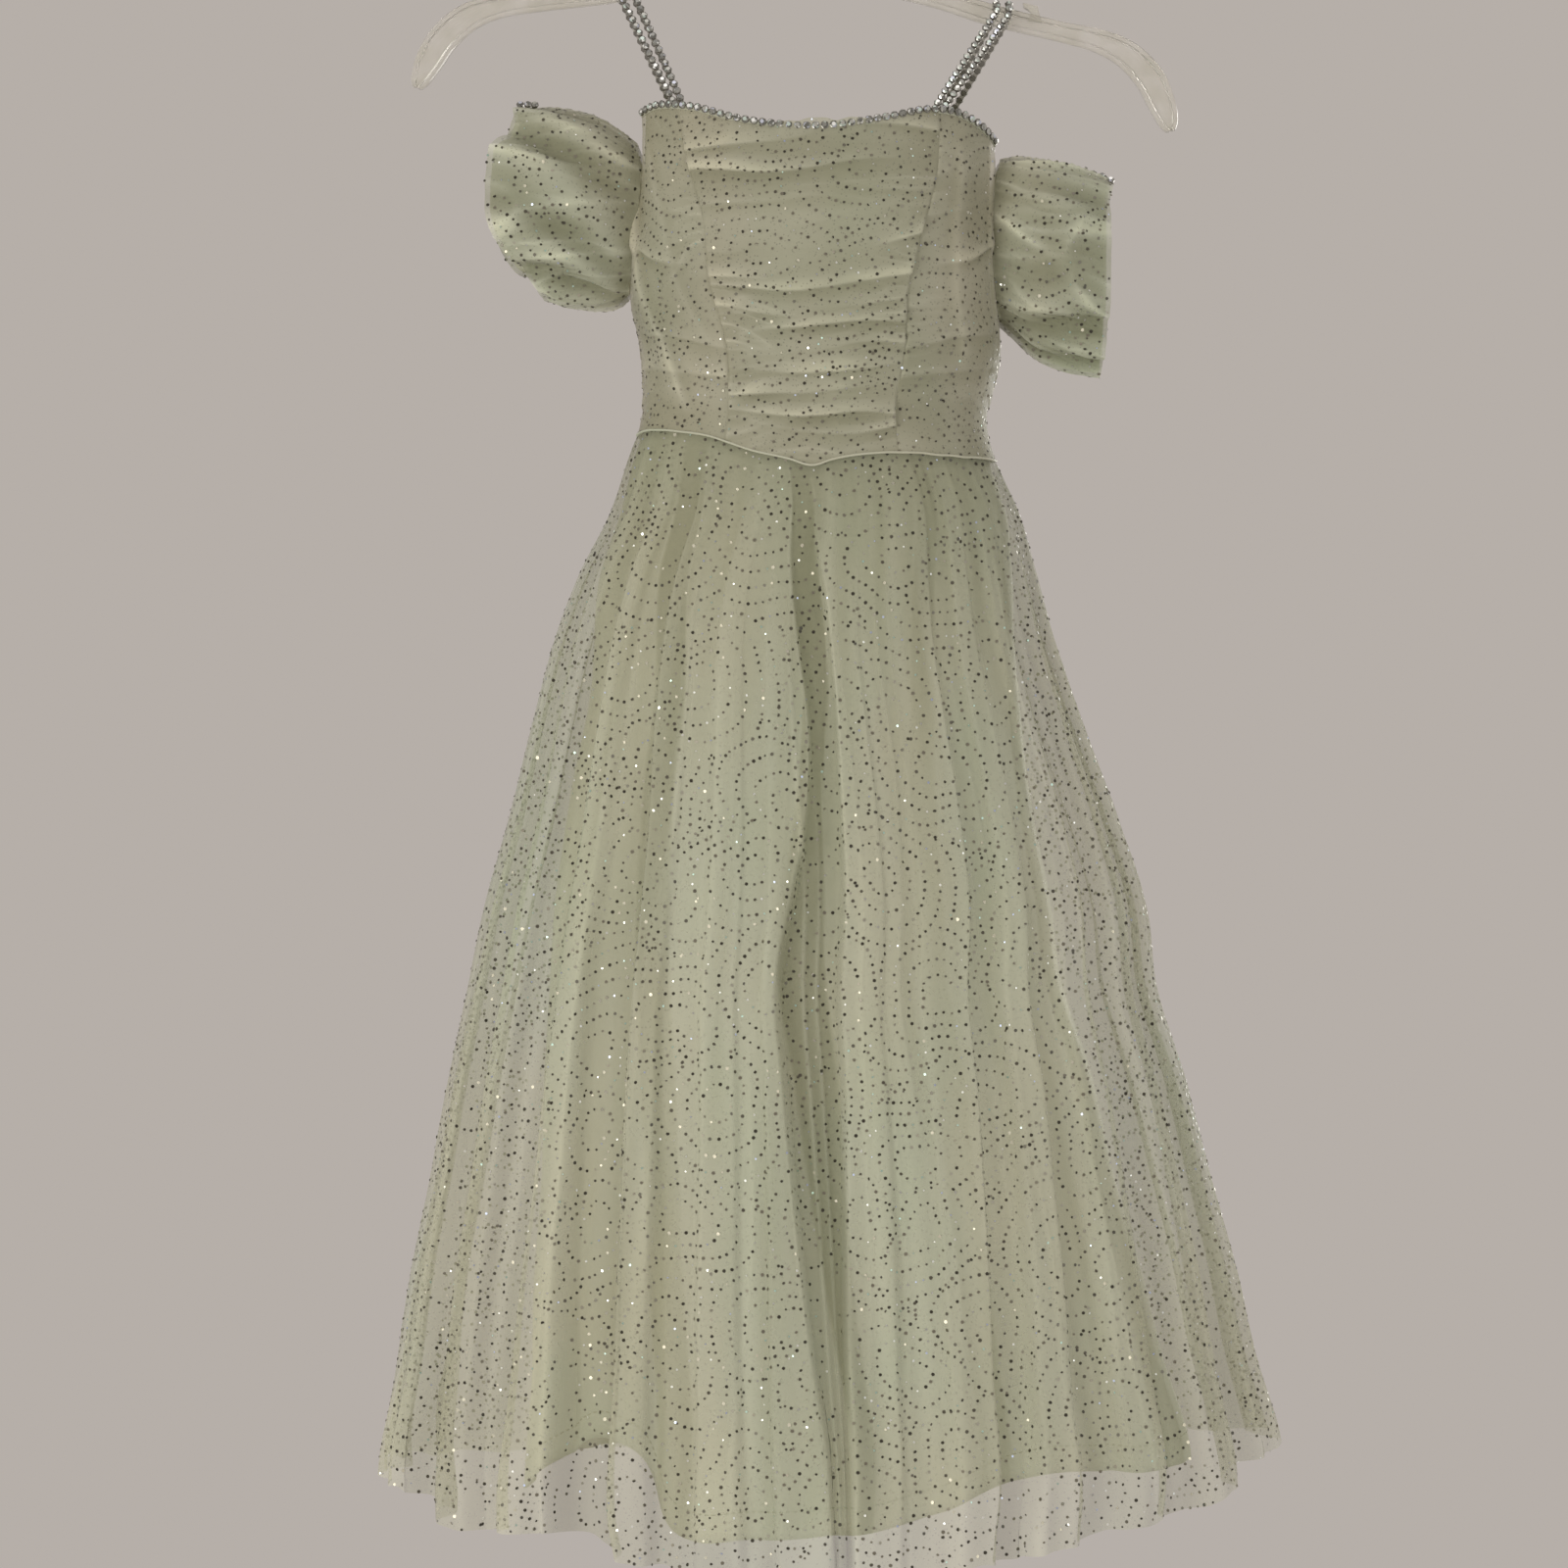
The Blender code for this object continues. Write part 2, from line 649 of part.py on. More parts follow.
def make_bodice():
    def left_seam(drop):
        return seam_angle(PRINCESS_LEFT, drop)

    def right_seam(drop):
        return seam_angle(PRINCESS_RIGHT, drop)

    left_side, right_side = level(-SIDE_ANGLE), level(SIDE_ANGLE)
    left_back, right_back = level(-BACK_ANGLE), level(BACK_ANGLE)
    rows, columns = CENTRE_GRID
    centre = np.linspace(0, 1, columns + 1)
    falls = np.linspace(0, 1, rows + 1)
    bodice_panel("bodice_front_centre", left_seam, right_seam, centre, falls, CENTRE_PANEL, CENTRE_RUCHES)
    side = np.array(SIDE_COLUMNS)
    falls = np.linspace(0, 1, SIDE_ROWS + 1)
    turned = 1 - side[::-1]
    bodice_panel("bodice_side_left", left_side, left_seam, turned, falls, SIDE_PANEL, SIDE_RUCHES, True)
    bodice_panel("bodice_side_right", right_seam, right_side, side, falls, SIDE_PANEL, SIDE_RUCHES)
    back = np.array(BACK_COLUMNS)
    falls = np.linspace(0, 1, BACK_ROWS + 1)
    bodice_panel("bodice_back_right", right_side, right_back, back, falls, BACK_PANEL)
    bodice_panel("bodice_back_left", left_back, left_side, 1 - back[::-1], falls, BACK_PANEL)


def skirt_panel(name, surface, hem, angles, falls, thickness, finish):
    """A skirt panel from just under the waist piping to its hem."""
    top = edge_drop(WAIST_EDGE, angles) + PIPING_HALF_HEIGHT + GAP
    falls = np.asarray(falls, float)[:, None]
    drop = top + falls * (edge_drop(hem, angles) - top)
    angle = angles + 0 * drop
    outer = laid(surface, angle, drop, 0 * drop)
    inner = laid(surface, angle, drop, 0 * drop - thickness)
    wall(name, outer, inner, finish)


def make_overskirt():
    front = SIDE_ANGLE * in_from_seams(FRONT_SKIRT_COLUMNS, SKIRT_PANEL)
    back = SIDE_ANGLE + SIDE_ANGLE * in_from_seams(np.linspace(0, 1, BACK_SKIRT_STEPS + 1), SKIRT_PANEL)
    panels = {
        "overskirt_front_left": -front[::-1],
        "overskirt_front_right": front,
        "overskirt_back_right": back,
        "overskirt_back_left": -back[::-1],
    }
    for name, angles in panels.items():
        skirt_panel(name, overskirt, OVERSKIRT_HEM, angles, SKIRT_FALLS, OVERSKIRT_WALL, TULLE)


def make_lining():
    half = SIDE_ANGLE * (2 * in_from_seams(np.linspace(0, 1, LINING_STEPS + 1), LINING_PANEL) - 1)
    skirt_panel("lining_front", lining, LINING_HEM, half, LINING_FALLS, LINING_WALL, SATIN)
    skirt_panel("lining_back", lining, LINING_HEM, BACK_ANGLE + half, LINING_FALLS, LINING_WALL, SATIN)


def body_side(side, reach_y, drop):
    """How far out the body reaches at a side, at a given distance in front of or behind the middle."""
    left, right, front, back = reaches(BODY, drop)
    depth = np.where(reach_y < 0, front, back)
    ahead = np.clip(np.abs(reach_y) / depth, 0, 1) ** (1 / ROUNDING)
    half = (right - left) / 2
    return (left + right) / 2 + side * half * np.sqrt(1 - ahead**2)


def sleeve_surface(sleeve):
    """A tube from the armhole to the cuff: rings in the side view, spread between two curved ends."""
    places = column(sleeve.rings, "along")

    def surface(turn, along):
        top, bottom, front, back, squareness = (
            smooth(along, places, column(sleeve.rings, name)) for name in SleeveRing._fields[1:]
        )
        radians = np.radians(turn) * sleeve.side
        ahead, up = np.cos(radians), np.sin(radians)
        bulge = 2 / squareness
        reach = np.where(ahead > 0, -front, back)
        middle = (top + bottom) / 2
        swell = np.sin(np.pi * SLEEVE_FOLD_END * np.clip(along, 0, 1) ** SLEEVE_FOLD_RISE)
        inward = 0 * ahead
        for fold in sleeve.folds:
            centre = fold.root + (fold.cuff - fold.root) * along
            away = np.abs((turn * sleeve.side - centre + 180) % 360 - 180) / fold.width
            inward = inward + fold.depth * swell * np.exp(-(away**2))
        shrink = 1 - inward / ((bottom - top) / 2)
        y = reach * np.abs(ahead) ** bulge * shrink
        z = -middle + (bottom - top) / 2 * np.sign(up) * np.abs(up) ** bulge * shrink
        root = body_side(sleeve.side, y, -z) + sleeve.side * SLEEVE_CLEARANCE
        end = np.where(up > 0, sleeve.cuff_top, sleeve.cuff_bottom)
        cuff = sleeve.cuff_middle + (end - sleeve.cuff_middle) * up**2
        x = root + (cuff - root) * along
        return np.stack([x, y, z], axis=-1)

    return surface


def make_sleeves():
    for name, sleeve in SLEEVES.items():
        surface = sleeve_surface(sleeve)
        turns = np.linspace(0, 360, SLEEVE_STEPS + 1)[:-1] + 4
        along, turn = np.meshgrid(np.array(SLEEVE_RINGS), turns, indexing="ij")
        normal = outward(surface, turn, along, 1.0, 0.01)
        outer = surface(turn, along)
        wall(name, outer, outer - normal * SLEEVE_WALL, TULLE, closed=True)


def make_trims():
    """Flat tapes that lie on the bodice along its neck edge."""
    corner_front = ARMHOLES[0].front
    corner_back = ARMHOLES[0].back
    end = BACK_ANGLE - CENTRE_BACK_SLIT
    tapes = {
        "neck_trim_front": np.linspace(-corner_front, corner_front, TRIM_FRONT_STEPS + 1),
        "neck_trim_back_right": np.linspace(corner_back, end, TRIM_BACK_STEPS + 1),
        "neck_trim_back_left": np.linspace(-end, -corner_back, TRIM_BACK_STEPS + 1),
    }
    for name, angles in tapes.items():
        drop = edge_drop(NECK_EDGE, angles) + np.array([[0.0], [TRIM_HEIGHT]])
        angle = angles + 0 * drop
        inner = laid(body, angle, drop, 0 * drop + GAP, level_out=True)
        outer = laid(body, angle, drop, 0 * drop + GAP + TRIM_THICKNESS, level_out=True)
        wall(name, outer, inner, TRIM)


def make_piping():
    """A narrow piping in the pointed waist seam, open at the centre back."""
    end = BACK_ANGLE - CENTRE_BACK_SLIT
    angles = np.linspace(-end, end, PIPING_STEPS + 1)
    drop = edge_drop(WAIST_EDGE, angles)
    rings = []
    for point in PIPING_PROFILE:
        ring = laid(body, angles, drop, point.out + 0 * drop, level_out=True)
        rings.append(ring + np.array([0, 0, point.up]))
    sweep("waist_piping", np.stack(rings, axis=1), SATIN)


def sweep(name, rings, finish):
    """A closed solid from rings of points in order along a path, with flat ends."""
    count, around = rings.shape[:2]
    index = np.arange(count * around).reshape(count, around)
    sides = quads(np.hstack([index, index[:, :1]]))
    ends = [list(index[0]), list(index[-1, ::-1])]
    return finish_object(name, rings.reshape(-1, 3), list(sides) + ends, finish)


def rolled(out, below):
    """A point of the upright hanger after it is rolled about the middle of its hook."""
    turn = np.radians(HANGER_ROLL)
    under = below - HOOK_RADIUS
    x = out * np.cos(turn) - under * np.sin(turn)
    return x, HOOK_RADIUS + out * np.sin(turn) + under * np.cos(turn)


def arm_path():
    """Evenly read stations along both arms, left to right, with the section's depth at each."""
    places = np.arange(len(ARM), dtype=float)
    at = np.linspace(0, len(ARM) - 1, ARM_STEPS * 2 - 1)[1:]
    half = np.stack([smooth(at, places, column(ARM, name)) for name in ArmStation._fields], axis=1)
    left = half[::-1] * np.array([-1, 1, 1])
    middle = np.array([[ARM[0].out, ARM[0].below, ARM[0].depth]], float)
    return np.concatenate([left, middle, half])


def arm_frames():
    path = arm_path()
    along = np.gradient(path[:, :2], axis=0)
    along = along / np.linalg.norm(along, axis=1, keepdims=True)
    up = np.stack([along[:, 1], -along[:, 0]], axis=1)
    return path, up


def make_hanger():
    """Ribbed arms with a strap finger on each, and a boss that holds the hook."""
    path, up = arm_frames()
    half = path[:, 2:] / 2
    chamfer = np.minimum(FLANGE_CHAMFER, half * 0.3)
    flange = np.minimum(FLANGE_DEPTH, half * 0.7)
    fillet = np.minimum(flange + WEB_FILLET, half * 0.85)
    heights = np.hstack([half, half - chamfer, half - flange, half - fillet])
    heights = np.hstack([heights, -heights[:, ::-1]])
    widths = np.array([FLANGE_HALF - FLANGE_CHAMFER, FLANGE_HALF, FLANGE_HALF, WEB_HALF])
    widths = np.concatenate([widths, widths[::-1]])
    heights = np.hstack([heights, heights[:, ::-1]])
    widths = np.concatenate([widths, -widths[::-1]])
    out = path[:, :1] + up[:, :1] * heights + ARMS_OFFSET
    below = path[:, 1:2] + up[:, 1:] * heights
    x, drop = rolled(out, below)
    rings = np.stack([x, widths + 0 * x, -drop], axis=-1)
    hanger = sweep("hanger_body", rings, CLEAR_PLASTIC)
    for side in (-1, 1):
        join(hanger, finger(side), "UNION")
    join(hanger, upright_rod("boss", BOSS_RADIUS, BOSS_TOP, BOSS_BOTTOM), "UNION")
    join(hanger, upright_rod("bore", HOOK_WIRE + GAP, BOSS_TOP - 1, STEM_BOTTOM + 1), "DIFFERENCE")


def join(target, tool, operation):
    """A Boolean with a helper that isn't itself part of the model."""
    tool.hide_render = True
    tool.display_type = "WIRE"
    step = target.modifiers.new(tool.name, "BOOLEAN")
    step.operation = operation
    step.object = tool


def arm_top(out):
    """The drop of the upright arm's top edge at a distance from the middle."""
    path, up = arm_frames()
    top = path[:, :2] + up * path[:, 2:] / 2
    return np.interp(out, top[:, 0], top[:, 1])


def finger(side):
    """The small finger that keeps a strap from sliding off."""
    outline = np.array(FINGER_OUTLINE)
    out = side * (FINGER_OUT + outline[:, 0]) + ARMS_OFFSET
    below = arm_top(side * FINGER_OUT) - outline[:, 1]
    x, drop = rolled(out, below)
    rings = np.stack([np.stack([x, 0 * x + y, -drop], axis=-1) for y in (-FINGER_HALF, FINGER_HALF)])
    return sweep(f"finger_{side + 1}", rings, CLEAR_PLASTIC)


def upright_rod(name, radius, top, bottom):
    """A round rod on the hanger's middle line, between two drops."""
    turns = np.linspace(0, 2 * np.pi, ROUND_SIDES, endpoint=False)
    rings = []
    for below in (top, bottom):
        x, drop = rolled(ARMS_OFFSET + radius * np.cos(turns), below + 0 * turns)
        rings.append(np.stack([x, radius * np.sin(turns), -drop], axis=-1))
    return sweep(name, np.array(rings), CLEAR_PLASTIC)


def make_hook():
    """A round wire: a stem from the boss, then a hook whose inner top is the origin."""
    loop = HOOK_RADIUS + HOOK_WIRE
    turns = np.radians(np.linspace(*HOOK_ARC, HOOK_STEPS))
    arc = np.stack([loop * np.cos(turns), HOOK_RADIUS - loop * np.sin(turns)], axis=1)
    path = np.concatenate([np.array(HOOK_STEM), arc])
    x, drop = rolled(path[:, 0], path[:, 1])
    wire = bpy.data.curves.new("hanger_hook", "CURVE")
    wire.dimensions = "3D"
    wire.bevel_depth = HOOK_WIRE * MM
    wire.bevel_resolution = 2
    wire.use_fill_caps = True
    spline = wire.splines.new("POLY")
    spline.points.add(len(path) - 1)
    for point, at_x, at_drop in zip(spline.points, x, drop):
        point.co = (at_x * MM, 0, -at_drop * MM, 1)
    thing = bpy.data.objects.new("hanger_hook", wire)
    wire.materials.append(material("hanger_hook", METAL))
    bpy.context.scene.collection.objects.link(thing)


def strap_path(strap):
    """The middle line of a strap from the front neck edge, over the arm, to the back neck edge."""
    feet = []
    for angle in (strap.front_angle, strap.back_angle):
        drop = edge_drop(NECK_EDGE, angle) - STRAP_FOOT_GAP
        feet.append(laid(body, np.array(angle, float), drop, -STRAP_THICKNESS / 2))
    path, up = arm_frames()
    top = path[:, :2] + up * path[:, 2:] / 2
    x, drop = rolled(top[:, 0] + ARMS_OFFSET, top[:, 1])
    at_drop = np.interp(strap.arm_x, x, drop)
    lean = np.interp(strap.arm_x, x, np.gradient(drop, x))
    turns = np.linspace(-STRAP_WRAP, STRAP_WRAP, STRAP_ARC_STEPS + 1)
    radius = STRAP_OVER_ARM + STRAP_THICKNESS / 2
    middle = at_drop + STRAP_OVER_ARM - STRAP_LIFT
    arc = np.stack(
        [
            strap.arm_x + 0 * turns,
            radius * np.sin(np.radians(turns)),
            radius * np.cos(np.radians(turns)) - middle,
        ],
        axis=1,
    )
    shares = np.linspace(0, 1, STRAP_RUN_STEPS + 1)[:-1, None]
    rise = feet[0] + (arc[0] - feet[0]) * shares
    fall = feet[1] + (arc[-1] - feet[1]) * shares
    return np.concatenate([rise, arc, fall[::-1]]), np.array([1, 0, -lean])


def make_straps():
    for strap in STRAPS:
        path, across = strap_path(strap)
        along = np.gradient(path, axis=0)
        along = along / np.linalg.norm(along, axis=1, keepdims=True)
        width = across - along * (along @ across)[:, None]
        for end, angle in ((0, strap.front_angle), (-1, strap.back_angle)):
            step = np.array([angle - 1.0, angle + 1.0])
            edge = body(step, edge_drop(NECK_EDGE, step))
            width[end] = np.sign(edge[1, 0] - edge[0, 0]) * (edge[1] - edge[0])
        width = width / np.linalg.norm(width, axis=1, keepdims=True)
        out = np.cross(width, along)
        half_width, half_thick = STRAP_WIDTH / 2, STRAP_THICKNESS / 2
        corners = ((-1, -1), (1, -1), (1, 1), (-1, 1))
        rings = [path + width * a * half_width + out * b * half_thick for a, b in corners]
        sweep(strap.name, np.stack(rings, axis=1), TRIM)


def prism(name, outline, low, high, axis, finish):
    """An outline given in the two other axes, carried from low to high along an axis."""
    rings = []
    for at in (low, high):
        points = np.insert(np.array(outline, float), axis, at, axis=1)
        rings.append(points)
    return sweep(name, np.array(rings), finish)


def disc(radius):
    turns = np.linspace(0, 2 * np.pi, ROUND_SIDES, endpoint=False)
    return np.stack([radius * np.cos(turns), radius * np.sin(turns)], axis=1)


def make_zip():
    """The slider and its pull tab, made round the pin's middle and then moved to the centre back."""
    seat = body(np.array(float(BACK_ANGLE)), np.array(ZIP_DROP))
    plate_in = GAP
    plate_out = GAP + SLIDER_THICKNESS
    pin = (seat + np.array([0, plate_out + PIN_OUT, 0])) * MM
    back = plate_in - plate_out - PIN_OUT
    half_x, half_z, cut = SLIDER_WIDTH / 2, SLIDER_LENGTH / 2, 1.5
    plate = (
        (-half_x + cut, half_z),
        (-half_x, half_z - cut),
        (-half_x + 0.6, -half_z),
        (half_x - 0.6, -half_z),
        (half_x, half_z - cut),
        (half_x - cut, half_z),
    )
    slider = prism("zip_slider", plate, back, -PIN_OUT, 1, METAL)
    pieces = [slider]
    for side in (-1, 1):
        near, far = side * EAR_INSIDE, side * (EAR_INSIDE + EAR_THICKNESS)
        lug = (
            (-PIN_OUT - 0.6, -EAR_RADIUS),
            (0.6, -EAR_RADIUS),
            (EAR_RADIUS, -0.6),
            (EAR_RADIUS, 0.6),
            (0.6, EAR_RADIUS),
            (-PIN_OUT - 0.6, EAR_RADIUS),
        )
        ear = prism(f"ear_{side + 1}", lug, min(near, far), max(near, far), 0, METAL)
        join(slider, ear, "UNION")
        pieces.append(ear)
    rod = prism("pin", disc(PIN_RADIUS), -EAR_INSIDE - 0.5, EAR_INSIDE + 0.5, 0, METAL)
    join(slider, rod, "UNION")
    tab = prism("zip_pull", TAB_OUTLINE, -TAB_HALF_THICKNESS, TAB_HALF_THICKNESS, 1, METAL)
    knuckle = prism("knuckle", disc(KNUCKLE_RADIUS), -KNUCKLE_HALF, KNUCKLE_HALF, 0, METAL)
    eye = prism("eye", disc(PIN_RADIUS + GAP), -KNUCKLE_HALF - 1, KNUCKLE_HALF + 1, 0, METAL)
    join(tab, knuckle, "UNION")
    join(tab, eye, "DIFFERENCE")
    for piece in [*pieces, rod, tab, knuckle, eye]:
        piece.location = pin


def main():
    for thing in list(bpy.data.objects):
        bpy.data.objects.remove(thing)
    make_hanger()
    make_hook()
    make_straps()
    make_bodice()
    make_sleeves()
    make_trims()
    make_piping()
    make_overskirt()
    make_lining()
    make_zip()


main()
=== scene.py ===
"""The looks of a flower girl dress on a clear hanger, laid out as an add-on and run as a script.

Tables and sizes are in millimetres and every mesh is in metres. +X is the right of the front view, +Y is
the back of the dress and +Z is up. A drop is a distance below the inner top of the hook, which is the
origin. An angle round the body is 0 at the centre front, 90 at the right side and 180 at the centre back.
"""

from collections import namedtuple
from math import pi, radians

import bpy
import numpy as np
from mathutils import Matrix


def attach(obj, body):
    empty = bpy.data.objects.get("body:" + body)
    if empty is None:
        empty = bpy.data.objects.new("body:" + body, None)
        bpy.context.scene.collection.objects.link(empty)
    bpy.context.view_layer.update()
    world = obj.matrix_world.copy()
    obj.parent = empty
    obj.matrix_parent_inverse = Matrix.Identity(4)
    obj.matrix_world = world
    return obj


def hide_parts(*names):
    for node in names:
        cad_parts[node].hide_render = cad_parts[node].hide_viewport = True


bl_info = {
    "name": "Flower girl dress",
    "version": (1, 0, 0),
    "blender": (4, 5, 0),
    "location": "3D View > Sidebar > Dress",
    "description": "A ruched tulle dress with puff sleeves, stone straps and a clear hanger",
    "category": "Object",
}

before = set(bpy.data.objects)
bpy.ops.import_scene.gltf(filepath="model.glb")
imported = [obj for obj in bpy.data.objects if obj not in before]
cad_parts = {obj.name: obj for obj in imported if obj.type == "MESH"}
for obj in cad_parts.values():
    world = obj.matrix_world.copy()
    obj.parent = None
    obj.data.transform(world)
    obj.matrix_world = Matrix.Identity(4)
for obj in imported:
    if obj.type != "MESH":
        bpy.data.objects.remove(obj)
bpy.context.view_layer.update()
BODY_NAME = "dress"
MM = 0.001


def table(kind, *rows):
    """Rows of numbers as named rows."""
    return tuple(kind(*row) for row in rows)


# The body and the overskirt as ovals: their left and right edges, and their reach to the front and back
Section = namedtuple("Section", "drop left right front back")
BODY = table(
    Section, (150, -85.0, 98.5, 54, 40), (190, -84.0, 98.0, 60, 44), (225, -86.5, 95.5, 63, 46),
    (255, -88.5, 97.0, 62, 46), (285, -82.5, 98.5, 60, 45), (320, -83.5, 92.5, 57, 44),
    (338, -90.0, 97.0, 57, 44), (365, -99.0, 109.0, 60, 46), (395, -114.0, 117.5, 63, 47),
    (427, -126.0, 126.0, 66, 49), (471, -138.0, 141.0, 70, 51), (520, -150.0, 159.0, 74, 54),
    (565, -162.5, 173.5, 78, 57), (605, -171.0, 178.5, 82, 59), (655, -182.0, 194.0, 86, 62),
    (700, -190.5, 206.0, 90, 65), (750, -201.0, 219.5, 93, 67), (795, -208.0, 229.5, 96, 70),
    (836, -215.5, 241.0, 99, 72), (890, -215.0, 241.0, 101, 72),
)
ROUNDING = 0.84

# How far the lining skirt lies inside the overskirt on each of its four sides
LINING_INSET = table(
    Section, (320, 1.9, 1.9, 1.9, 1.9), (345, 3.0, 3.5, 3.2, 3.0), (393, 9.0, 11.0, 7.0, 5.0),
    (448, 23.0, 24.0, 11.0, 7.0), (513, 27.0, 40.0, 15.0, 9.0), (570, 34.5, 47.0, 18.0, 11.0),
    (633, 44.0, 44.5, 22.0, 14.0), (709, 55.0, 47.0, 27.0, 18.0), (770, 62.5, 45.0, 31.0, 20.0),
    (837, 70.5, 42.5, 34.0, 22.0), (880, 67.5, 42.5, 35.0, 22.0),
)

# Edges that run round the body
EdgePoint = namedtuple("EdgePoint", "angle drop")
NECK_EDGE = table(
    EdgePoint, (-180, 177), (-108, 168), (-76, 163), (-61, 161), (-43, 164), (-24, 172), (-2, 176),
    (21, 171), (36, 166), (47, 166), (60, 170.5), (76, 178), (108, 180), (180, 177),
)
WAIST_EDGE = table(
    EdgePoint, (-180, 331), (-135, 328), (-90, 325), (-53, 325.5), (-34, 329.5), (-18, 337), (-7, 341),
    (0, 344.5), (6, 341.5), (14, 339), (29, 337.5), (48, 338.5), (90, 338), (135, 334.5), (180, 331),
)
OVERSKIRT_HEM = table(
    EdgePoint, (-180, 846), (-120, 850), (-90, 847), (-68, 858), (-54, 872), (-39, 869), (-26, 882),
    (0, 889), (25, 880), (40, 867), (55, 860), (71, 842), (90, 833), (120, 838), (180, 846),
)
LINING_HEM = table(
    EdgePoint, (-180, 842), (-110, 848), (-78, 858), (-60, 838), (-42, 837), (-35, 866), (-16, 876),
    (-2, 875), (14, 862), (31, 846), (57, 847), (82, 843), (120, 846), (180, 842),
)
PRINCESS_LEFT = table(
    EdgePoint, (-50, 166), (-46, 192), (-38, 219), (-35, 242), (-32.5, 265), (-31, 290), (-28.5, 330),
)
PRINCESS_RIGHT = table(
    EdgePoint, (41, 166), (40, 204), (34.5, 236), (29.5, 262), (27.5, 284), (27, 306), (27.5, 330),
)
SIDE_ANGLE = 90
BACK_ANGLE = 180
CENTRE_BACK_SLIT = 0.22
BACK_LEFT = CENTRE_BACK_SLIT - BACK_ANGLE
BACK_RIGHT = BACK_ANGLE - CENTRE_BACK_SLIT
# Where the neck edge is looked for: first and last drop, and the number of steps
NECK_SEARCH = (155, 275, 2401)

# The armholes: where each starts at the front and ends at the back, and its lowest point
Armhole = namedtuple("Armhole", "side front back bottom")
ARMHOLES = table(
    Armhole, (-1, 76, 108, 254.5), (1, 76, 108, 267.5),
)
ARMHOLE_SQUARENESS = 3.0

# Folds of the skirts: troughs whose angle, depth and half widths are given at the waist, middle and hem
Fold = namedtuple("Fold", "waist hem depth waist_width middle_width hem_width squareness")
CENTRE_FOLD = Fold(-5, 1.0, 29, 2.5, 6.2, 1.9, 4)
OVERSKIRT_FOLDS = table(
    Fold, (-72, -64, 13, 5.0, 5.0, 4.5, 2), (-55, -49, 11, 4.5, 5.0, 4.0, 2),
    (-40, -33, 19, 5.0, 5.5, 5.0, 2), (-24, -20, 7, 4.0, 4.0, 3.5, 2), (-12, -9, 6, 3.0, 2.5, 2.6, 2),
    CENTRE_FOLD, (16, 12, 5, 3.5, 3.5, 3.5, 2), (35.5, 23.5, 14, 3.5, 3.5, 3.0, 2),
    (48, 35, 9, 4.0, 4.0, 4.0, 2), (62, 50, 12, 5.0, 4.5, 4.5, 2), (76, 67, 15, 5.5, 5.0, 5.0, 2),
    (100, 92, 14, 6.0, 5.0, 5.0, 2), (118, 112, 12, 5.0, 5.0, 5.0, 2), (134, 131, 15, 5.0, 5.0, 5.0, 2),
    (150, 149, 12, 5.0, 5.0, 4.5, 2), (166, 167, 14, 4.5, 4.5, 4.5, 2), (-167, -168, 14, 4.5, 4.5, 4.5, 2),
    (-151, -150, 12, 5.0, 5.0, 4.5, 2), (-134, -131, 15, 5.0, 5.0, 5.0, 2),
    (-116, -111, 12, 5.0, 5.0, 5.0, 2), (-97, -90, 14, 6.0, 5.0, 5.0, 2),
)
LINING_FOLDS = table(
    Fold, (-66, -62, 7, 7.0, 7.0, 6.0, 2), (-38, -40, 10, 6.0, 6.0, 4.5, 2), (0, -4, 10, 4.0, 6.0, 5.0, 2),
    (30, 25, 7, 6.0, 6.0, 6.0, 2), (58, 48, 7, 7.0, 7.0, 7.0, 2), (96, 92, 8, 8.0, 8.0, 8.0, 2),
    (130, 128, 7, 8.0, 8.0, 8.0, 2), (162, 160, 8, 8.0, 8.0, 8.0, 2), (-160, -158, 8, 8.0, 8.0, 8.0, 2),
    (-124, -122, 7, 8.0, 8.0, 8.0, 2), (-94, -92, 8, 8.0, 8.0, 8.0, 2),
)
# The deep fold at the centre front leans and swells on its way down: its angle and half width by the fall
CoursePoint = namedtuple("CoursePoint", "fall middle half")
CENTRE_COURSE = table(
    CoursePoint, (0.0, -4.0, 3.0), (0.06, -2.6, 3.4), (0.13, 0.8, 3.9), (0.23, 2.9, 3.1), (0.31, 2.2, 3.1),
    (0.39, 0.6, 4.4), (0.48, -0.8, 5.4), (0.57, -0.5, 4.9), (0.74, 0.0, 3.2), (0.89, 0.75, 2.1),
    (1.0, 1.3, 1.6),
)
# Narrow folds of tulle that stand in the centre front's deep fold
VALLEY_CREASES = table(
    Fold, (-4.6, 1.2, 3.0, 0.5, 0.5, 0.3, 2), (-0.5, 1.9, 2.4, 0.5, 0.45, 0.3, 2),
)
SKIRT_LENGTH = 530.0
MIDDLE_OF_SKIRT = 0.5
CRISPNESS = 5.0
CRISP_NARROWING = 1.08
LAYER_GAP = 1.6

# How shade is painted on the skirts: depths of the shallowest and deepest folds, a trough's edge and its
# painted highlight line
SHALLOW = 4
DEEPEST = 27
TROUGH_EDGE = 0.98
HIGHLIGHT_LINE = 1.06
HIGHLIGHT_LINE_WIDTH = 0.07
# Folds deeper than this paint their shadow on the lining; the lining's hem corner at this angle gets a painted
# highlight
CASTS_SHADOW = 13
LINING_CORNER = -24
# The skirts' even tone, and how much the painted shade at the waist and in a trough and a painted highlight
# line change it
SKIRT_TONE = 0.63
WAIST_SHADE = 0.25
TROUGH_SHADE = 0.54
LINE_HIGHLIGHT = 0.36

